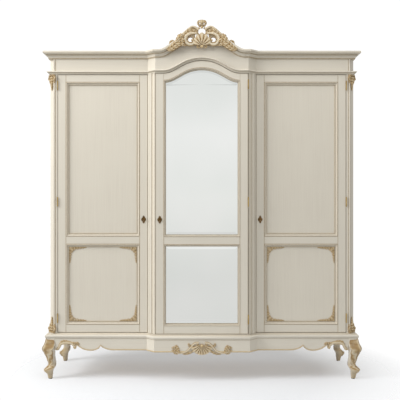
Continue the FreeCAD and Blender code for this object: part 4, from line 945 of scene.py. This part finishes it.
def wingApronEdge():
    # from the leg inwards: a curl, the arch, a notch, a deep lobe, a cusp, and the long shallow lobe
    o, f = apronOuter, apronFoot
    return outline((o, f + 8), ((o - 14, f + 3), (o - 27, f + 8)),
                   ((o - 36, archTop - 6), (o - 52, archTop)), (o - 106, archTop),
                   ((o - 124, archTop - 5), (o - 133, f + 12)), ((o - 141, f + 14), (o - 146, f + 28)),
                   ((o - 152, f + 36), (o - 160, f + 31)), ((o - 196, f + 9), (o - 240, f)),
                   ((o - 286, f + 7), (o - 315, f + 34)), ((o - 346, f + 14), (o - 392, f + 3)),
                   (apronInner, f + 3))


edge = wingApronEdge()[::-1]
apronY = blockY
steady = np.maximum.accumulate(edge[:, 0] + np.arange(len(edge)) * 1e-3)
wingApron = boardBetween(steady, edge[:, 1], baseFoot, apronY, apronY + apronLook["board"])
makePiece("apron_board_right", wingApron, levelLacquer, stands=["apron_right"])
makePiece("apron_board_left", mirrored(wingApron), levelLacquer, stands=["apron_left"])

centrePath = planPath[2:6]
centreProfile = np.array([(-4, baseFoot, 0), (-4, apronFoot, 0), (17, apronFoot, 0.7),
                          (18, apronFoot + 1, 0.7), (18, apronFoot + 8, 0), (18, baseFoot - 7, 0),
                          (18, baseFoot, 0.75)], float)
makePiece("apron_board_centre", carryPlan(centreProfile, centrePath), levelLacquer,
          stands=["apron_centre"])
t = np.linspace(0, 2 * pi, 12, endpoint=False)
beadProfile = np.stack([18 + apronLook["bead"] * np.cos(t), apronFoot + 5 + apronLook["bead"] * np.sin(t),
                        np.clip(-np.cos(t) * 0.9 + 0.2, 0, 1)], 1)
centreBead = carryPlan(beadProfile, centrePath)
centreBead["gilt"] = np.full_like(centreBead["gilt"], 0.75)
beadPath = np.stack([edge[:, 0], np.full(len(edge), apronY - 0.5), edge[:, 1] + 3.5], 1)
keep = np.concatenate([[True], np.linalg.norm(np.diff(beadPath, axis=0), axis=1) > 1.0])
wingBead = tube(beadPath[keep], apronLook["bead"], 10, gilt=0.5)
makePiece("apron_beads", merge(centreBead, pair(wingBead)), gilded)
print("aprons made")

# carved crest over the centre door

crestLook = {"front": spans("crest_carving")[2] + 14, "back": spans("crest_carving")[3], "flutes": 7,
             "eye": (78, 120, 17)}       # across, up and radius of the hole inside the scroll
crestY = crestLook["front"]


def flatLine(stops, y, count=40):
    path = smoothPath(stops, count)
    return np.stack([path[:, 0], np.full(count, y), path[:, 1]], 1)


def crestHalf():
    # the right half, in heights above the cornice foot: the outer band, the C-scroll round its eye,
    # a pierced plate behind them, and leaves that run down over the neck
    y = crestY
    eyeX, eyeZ, eyeSize = crestLook["eye"]
    t = np.linspace(0, 1, 44)
    band = tube(flatLine([(22, 184), (40, 198), (62, 205), (88, 192), (118, 167), (145, 142), (170, 110),
                          (192, 86), (206, 82)], y - 2, 44), 8.5 - 2.5 * t, flat=1.1, gilt=0.25, glaze=0.05)
    t = np.linspace(0, 1, 60)
    scroll = tube(flatLine([(34, 160), (58, 162), (88, 156), (110, 138), (115, 116), (104, 94), (82, 84),
                            (60, 90), (54, 106), (64, 116)], y - 3, 60),
                  6 + 8.5 * np.sin(pi * np.clip(0.08 + 0.84 * t, 0, 1)) ** 1.2, 16, flat=0.8, gilt=0.1,
                  glaze=0.0)
    ridge = tube(flatLine([(36, 154), (58, 154), (84, 148), (100, 134), (103, 116), (94, 102), (80, 96),
                           (66, 98)], y - 11, 50), 1.8, 8, gilt=1.0)
    curl = volute((212, 92), 16, 1, y - 2, start=-pi / 2, hand=1, thick=0.42, rise=5)
    over = spans("swan_necks")[2] + 2
    leaves = [
        leaf([(112, 100), (142, 112), (172, 94), (204, 66), (244, 50)], 21, over, 10, 6, lean=0.6,
             notch=0.14),
        leaf([(112, 74), (140, 84), (172, 68), (202, 48), (232, 38)], 14, over - 1, 9, 5, lean=0.6,
             notch=0.18),
        leaf([(122, 138), (146, 134), (170, 108), (196, 82)], 13, over - 1, 9, 4, lean=0.6, notch=0.15),
        leaf([(30, 180), (74, 180), (110, 154), (142, 126), (166, 100)], 16, y - 2, 9, 6, lean=0.75,
             notch=0.2),
        leaf([(124, 150), (148, 146), (164, 128), (178, 106)], 13, y - 4, 9, 4, lean=0.6),
        leaf([(64, 196), (86, 190), (108, 172), (128, 152)], 7, y - 5, 7, 4, lean=0.6),
        leaf([(16, 150), (32, 160), (38, 174), (26, 186)], 8, y - 3, 7, 3, lean=0.5),
        leaf([(66, 178), (96, 172), (122, 148), (134, 122)], 9, y - 7, 6, 4, lean=0.6),
        leaf([(176, 92), (190, 104), (206, 108), (222, 100)], 9, y - 4, 7, 3, lean=0.6),
    ]
    x = np.linspace(24, 214, 96)
    top = np.interp(x, [24, 64, 90, 118, 145, 170, 192, 214], [192, 203, 192, 168, 144, 112, 86, 78])
    hole = np.sqrt(np.clip(eyeSize ** 2 - (x - eyeX) ** 2, 0, None))
    foot = np.where(x < 48, 162, np.where(x < 124, eyeZ + hole, np.interp(x, [124, 214], [86, 56])))
    upper = boardBetween(x, np.minimum(foot, top - 3), top, y + 1, crestLook["back"] - 1, stain=0.9)
    x = np.linspace(44, 124, 60)
    hole = np.sqrt(np.clip(eyeSize ** 2 - (x - eyeX) ** 2, 0, None))
    lower = boardBetween(x, 80 + 0 * x, eyeZ - hole, y + 1.5, crestLook["back"] - 1.5, stain=0.9)
    for plate in (upper, lower):
        plate["gilt"] = np.full_like(plate["gilt"], 0.35)
    return merge(band, scroll, ridge, eyeBall(), curl, upper, lower, *leaves)


def eyeBall():
    return boss((66, 113), 8.0, crestY - 6, 8)


def crestMiddle():
    y = crestY
    fan = shell((0, 74), 91, 1.45, crestLook["flutes"], y - 4, 14, foot=0.10, gilt=0.8, open=0.10,
                squash=0.42)
    finial = shell((0, 192), 62, 0.34, 3, y - 1, 11, foot=0.12, gilt=0.9)
    buttons = [boss((0, 70), 12, y - 8, 7), boss((0, 200), 9, y - 8, 7), boss((0, 236), 9, y - 10, 6)]
    curls = [volute((15, 196), 11, 1, y - 2, start=pi / 2, hand=-1, thick=0.42, rise=5),
             volute((17, 234), 12, 1, y - 4, start=-pi / 2, hand=1, thick=0.42, rise=5),
             volute((26, 72), 16, 1, y - 2, start=pi, hand=1, thick=0.4, rise=5)]
    tongues = [leaf([(30, 84), (50, 106), (56, 132), (46, 154)], 8, y - 5, 8, 4, lean=0.5),
               leaf([(6, 206), (20, 218), (27, 234), (18, 252)], 8, y - 3, 7, 3, lean=0.5)]
    return merge(fan, finial, *buttons, *[pair(shape) for shape in curls + tongues])


def withinCrest(shape):
    # lifts the carving onto the cornice and keeps it under the block's top
    shape["points"][:, 2] = np.minimum(shape["points"][:, 2] + corniceFoot, crestTop)
    return shape


makePiece("crest_scrolls_and_shell", withinCrest(merge(pair(crestHalf()), crestMiddle())), gilded,
          stands=["crest_carving"], sharp=60)

# leaf carvings on the corner posts

cantMiddle = (half - reedLook["cant"] / 2, wingY + reedLook["cant"] / 2, 0)
cantAcross = (sqrt(0.5), sqrt(0.5), 0)
cantOut = (sqrt(0.5), -sqrt(0.5), 0)


def postLeaf():
    # hangs from height 0 down to -104: side leaves that curl out at the head, a long middle leaf and a drop
    side = [leaf([(4, -8), (15, -22), (20, -42), (15, -62)], 12, 0, 9, 3, lean=0.6),
            leaf([(8, -14), (22, -14), (31, -24), (31, -36)], 8, -3, 8, 2, lean=0.5),
            volute((20, -10), 11, 1, -3, start=-pi / 2, hand=1, thick=0.44, rise=6)]
    middle = [leaf([(0, -4), (0, -30), (0, -58), (0, -84)], 17, -4, 11, 4, lean=0.6),
              leaf([(0, -50), (0, -68), (0, -84), (0, -98)], 9, -3, 8, 2, lean=0.5),
              boss((0, -99), 5.5, -3, 5, tall=1.4)]
    head = plank((-26, 26), (-11, 4), (-7, 0), bevel=2, soft=3)
    head["gilt"] = np.ones_like(head["gilt"])
    return merge(*[pair(shape) for shape in side], *middle, head)


hanging = postLeaf()
hanging["points"] *= (1.2, 1.25, 1.02)
capital = placed(hanging, (cantMiddle[0], cantMiddle[1], astragalFoot - 1), cantAcross, cantOut)
standingLeaf = mirrored(hanging, 2)
footLeaf = placed(standingLeaf, (cantMiddle[0], cantMiddle[1], caseFoot + 1), cantAcross, cantOut)


def facing(shape):
    # turned the right way out after a move that may have mirrored it
    if volumeSign(shape["points"], shape["quads"], shape["tris"]) < 0:
        shape["quads"], shape["tris"] = shape["quads"][:, ::-1], shape["tris"][:, ::-1]
    return shape


makePiece("post_capital_leaves", pair(facing(capital)), gilded, stands=["post_capitals"],
          sharp=60)
makePiece("post_foot_leaves", pair(facing(footLeaf)), gilded, stands=["post_base_ornaments"],
          sharp=60)

# leaves in the corners of the lower panels

cornerLook = {"y": spans("right_door_panels")[2] - 1.0, "proudest": 9}        # mm


def cornerLeaf():
    # in the low left corner: two tapering sprays from a small scroll, with a lobe on the diagonal
    y = 0
    shapes = [
        leaf([(6, 8), (38, 9), (78, 8), (122, 6)], 8.5, y, 5, 6, lean=0.9, notch=0.6),
        leaf([(8, 6), (9, 36), (8, 72), (6, 114)], 8.5, y, 5, 6, lean=0.9, notch=0.6),
        leaf([(8, 8), (20, 20), (32, 22), (44, 17)], 8, y - 1, 5, 3, lean=0.7),
        leaf([(8, 8), (20, 20), (22, 32), (17, 44)], 8, y - 1, 5, 3, lean=0.7),
        leaf([(4, 4), (12, 12), (20, 20), (31, 31)], 9, y - 2, 6, 3, lean=0.5),
        volute((58, 15), 6, 1, y, start=pi, hand=-1, thick=0.45, rise=3),
        volute((15, 56), 6, 1, y, start=-pi / 2, hand=1, thick=0.45, rise=3),
        boss((8, 8), 6, y - 2, 4),
    ]
    return merge(*shapes)


def panelCorners(name, side):
    corner = cornerLeaf()
    corner["points"][:, 1] = np.maximum(corner["points"][:, 1], -cornerLook["proudest"])
    inset = moulding["wide"] - 1
    shapes = []
    inner, outer = openingX[0] + inset, openingX[1] - inset
    low, high = lowFoot + inset, middleFoot - inset
    for x, z, flipX, flipZ in ((inner, low, 0, 0), (outer, low, 1, 0), (inner, high, 0, 1),
                               (outer, high, 1, 1)):
        shape = dict(corner)
        shape = mirrored(shape, 0) if flipX else shape
        shape = mirrored(shape, 2) if flipZ else shape
        shape["points"] = shape["points"] + np.array([x, cornerLook["y"], z])
        shapes.append(shape)
    whole = merge(*shapes)
    makePiece(f"{name}_panel_corner_leaves", whole if side > 0 else mirrored(whole), gilded,
              name, stands=[f"{name}_corner_ornaments"], sharp=60)


panelCorners("left_door", -1)
panelCorners("right_door", 1)

# carvings on the aprons

def centreApronCarving():
    # in heights below the base moulding: a shell that hangs between two small volutes, a spray to each side
    y = centreY - baseLook["out"]
    fan = shell((0, -34), 70, 1.35, 9, y - 2, 13, foot=0.10, down=True, gilt=0.85, squash=-0.10)
    heart = boss((0, -40), 12, y - 8, 8)
    t = np.linspace(0, 1, 40)
    sweepLine = [(22, -22), (48, -26), (70, -46), (98, -76), (130, -90), (160, -92), (178, -84)]
    ribbon = tube(flatLine(sweepLine, y - 2, 40), 8.5 - 4.0 * t, 12, flat=0.8, gilt=0.1, glaze=0.0)
    side = [
        ribbon,
        volute((25, -38), 15, 1, y - 5, start=pi / 2, hand=-1, thick=0.42, rise=8),
        leaf([(44, -66), (70, -84), (100, -96), (132, -100)], 9, y - 1, 7, 4, lean=0.8),
        leaf([(60, -36), (80, -44), (92, -36), (88, -24)], 8, y - 2, 7, 3, lean=0.6),
        volute((88, -30), 10, 1, y - 3, start=-pi / 2, hand=1, thick=0.42, rise=5),
        leaf([(152, -78), (168, -62), (186, -54), (206, -58)], 12, y - 1, 8, 4, lean=0.8),
        leaf([(156, -86), (172, -76), (190, -74), (207, -76)], 10, y - 2, 8, 3, lean=0.8),
        leaf([(156, -92), (170, -94), (184, -92), (196, -86)], 8, y - 1, 7, 3, lean=0.8),
        leaf([(158, -76), (166, -58), (170, -46), (180, -38)], 8, y - 1, 7, 3, lean=0.6),
        boss((158, -84), 7.5, y - 4, 7),
    ]
    whole = merge(fan, heart, *[pair(shape) for shape in side])
    whole["points"][:, 2] += baseFoot
    return whole


def wingApronCarving():
    # the C-scroll over the arch by the leg, with a volute at each end
    y = apronY
    o, f = apronOuter, apronFoot
    t = np.linspace(0, 1, 50)
    scrollLine = [(o - 14, f + 14), (o - 26, f + 22), (o - 38, f + 45), (o - 60, f + 55), (o - 84, f + 56),
                  (o - 108, f + 53), (o - 128, f + 38), (o - 138, f + 22)]
    band = tube(flatLine(scrollLine, y, 50), 5.5 + 6.0 * np.sin(pi * t) ** 0.7, 14, flat=0.7, gilt=0.3,
                glaze=0.0)
    leaves = [
        leaf([(o - 30, f + 30), (o - 46, f + 60), (o - 72, f + 66), (o - 98, f + 64)], 9, y - 1, 7, 5,
             lean=0.8),
        leaf([(o - 112, f + 58), (o - 136, f + 50), (o - 154, f + 52), (o - 170, f + 44)], 10, y - 1, 7, 4,
             lean=0.8),
        volute((o - 15, f + 17), 10, 1, y - 1, start=pi / 2, hand=1, thick=0.42, rise=4),
        volute((o - 134, f + 22), 10, 1, y - 1, start=pi / 2, hand=-1, thick=0.42, rise=4),
        volute((o - 158, f + 48), 9, 1, y - 1, start=-pi / 2, hand=1, thick=0.42, rise=4),
    ]
    return merge(band, *leaves)


makePiece("apron_shell_and_scrolls", merge(centreApronCarving(), pair(wingApronCarving())), gilded,
          stands=["apron_carvings"], sharp=60)

# rims of the keyhole plates

def plateRim(name):
    # a beaded rim that follows the four hollow-sided points of the plate
    x0, x1, y0, _, z0, z1 = spans(f"{name}_escutcheon")
    middle = ((x0 + x1) / 2, (z0 + z1) / 2)
    angle = np.linspace(0, 2 * pi, 73)
    wide, tallHalf = (x1 - x0) / 2 - 1, (z1 - z0) / 2 - 1
    pinch = 1 - 0.30 * np.sin(2 * angle) ** 2
    path = np.stack([middle[0] + wide * pinch * np.cos(angle), np.full(73, y0),
                     middle[1] + tallHalf * pinch * np.sin(angle)], 1)
    ends = np.vstack([path[-2:-1], path, path[1:2]])
    along = ends[2:] - ends[:-2]
    along /= np.linalg.norm(along, axis=1, keepdims=True)
    side = np.cross(along, (0, 1, 0))
    ring = np.linspace(0, 2 * pi, 8, endpoint=False)
    thick = 1.5 * (1 + 0.35 * np.cos(24 * angle))[:, None, None]
    loops = path[:, None] + thick * (side[:, None] * np.cos(ring)[None, :, None]
                                     + np.array([0, 1, 0]) * np.sin(ring)[None, :, None])
    rim = loft(loops[:-1], ring=True)
    return makePiece(f"{name}_escutcheon_rim", rim, bronze, name)


for doorName in ("left_door", "centre_door", "right_door"):
    plateRim(doorName)
print("carvings made")

# floor, light and surroundings

studio = {
    "floor": "#f0f3f8",
    "floorShade": "#edf0f5",
    "keyPower": 235.0, "keySize": 2.8, "keyPlace": (-5.0, -2.0, 3.5),
    "fillPower": 8.0, "fillPlace": (3.6, -4.4, 2.2),
    "fillSize": 2.5,
    "topPower": 55.0, "topSize": 3.0, "topPlace": (0, -1.5, 4.6),
    "aim": (0, -0.2, 1.2),       # where the lamps point
    "floorSize": 7,              # m, radius
    # the floor fades out between these distances from the middle, in metres; To Min is how far gone it starts
    "floorFade": {"From Min": 0.85, "From Max": 1.65, "To Min": 0.27},
    "surround": 0.62,            # brightness of the room as it lights the piece
    "mirrored": 1.06,            # and as the mirrors and the gold show it
    "backdrop": 1.05,            # and of the white behind the piece
}


def studioFloor():
    # pale sweep that fades into the white background away from the piece
    t = np.linspace(0, 2 * pi, 64, endpoint=False)
    points = np.stack([np.cos(t), np.sin(t), 0 * t], 1) * studio["floorSize"]
    mesh = bpy.data.meshes.new("studio_floor")
    mesh.from_pydata(points.tolist(), [], [list(range(64))])
    material, tree, principled, place = newFinish("matt white studio paper", Roughness=0.9)
    paper = addNode(tree, "TexNoise", {"Vector": place, "Scale": perMetre(20.0), "Detail": 2,
                                       "Roughness": 0.5})
    coloured = addNode(tree, "Mix", {0: paper, 6: linear(studio["floor"]), 7: linear(studio["floorShade"])},
                       **colourMix)
    joinUp(tree, principled, {"Base Color": coloured})
    reach = addNode(tree, "VectorMath", {0: place}, "Value", operation="LENGTH")
    gone = addNode(tree, "MapRange", {"Value": reach} | studio["floorFade"])
    clear = addNode(tree, "BsdfTransparent")
    fade = addNode(tree, "MixShader", {0: gone, 1: principled.outputs["BSDF"], 2: clear})
    tree.links.new(fade, tree.nodes["Material Output"].inputs["Surface"])
    mesh.materials.append(material)
    floor = bpy.data.objects.new("studio_floor", mesh)
    bpy.context.scene.collection.objects.link(floor)


def softbox(name, place, power, size):
    light = bpy.data.lights.new(name, "AREA")
    light.shape, light.size, light.energy = "DISK", size, power
    lamp = bpy.data.objects.new(name, light)
    lamp.location = place
    aim = np.array(studio["aim"]) - np.array(place)
    lamp.rotation_euler = (pi / 2 + np.arctan2(aim[2], np.hypot(aim[0], aim[1])), 0,
                           np.arctan2(-aim[0], aim[1]))
    lamp.visible_glossy = False
    bpy.context.scene.collection.objects.link(lamp)


def surroundings():
    # white behind the piece for the camera; a soft pale room for light and for the mirrors
    world = bpy.data.worlds.new("studio")
    world.use_nodes = True
    tree = world.node_tree
    back = tree.nodes["Background"]
    way = addNode(tree, "TexCoord", output="Generated")
    up = addNode(tree, "SeparateXYZ", {"Vector": way}, "Z")
    share = addNode(tree, "MapRange", {"Value": up, "From Min": -1})
    room = addNode(tree, "ValToRGB", {"Fac": share}, "Color")
    ramp = room.node.color_ramp
    ramp.elements[0].color = linear("#cfcfcc")
    ramp.elements[1].color = linear("#d4d4d2")
    for spot, tint in ((0.44, "#dededc"), (0.50, "#ececea"), (0.55, "#f1f1f0"), (0.60, "#e8e8e7"),
                       (0.70, "#d6d6d5")):
        ramp.elements.new(spot).color = linear(tint)
    glossy = addNode(tree, "LightPath", output="Is Glossy Ray")
    strength = addNode(tree, "MapRange", {"Value": glossy, "To Min": studio["surround"],
                                          "To Max": studio["mirrored"]})
    tree.links.new(room, back.inputs["Color"])
    tree.links.new(strength, back.inputs["Strength"])
    plain = addNode(tree, "Background", {"Color": (1, 1, 1, 1), "Strength": studio["backdrop"]})
    seen = addNode(tree, "LightPath", output="Is Camera Ray")
    pick = addNode(tree, "MixShader", {0: seen, 1: back.outputs["Background"], 2: plain})
    tree.links.new(pick, tree.nodes["World Output"].inputs["Surface"])
    bpy.context.scene.world = world


studioFloor()
softbox("key_light", studio["keyPlace"], studio["keyPower"], studio["keySize"])
softbox("fill_light", studio["fillPlace"], studio["fillPower"], studio["fillSize"])
softbox("top_light", studio["topPlace"], studio["topPower"], studio["topSize"])
surroundings()
bpy.context.scene.view_settings.view_transform = "Standard"
print("studio set")
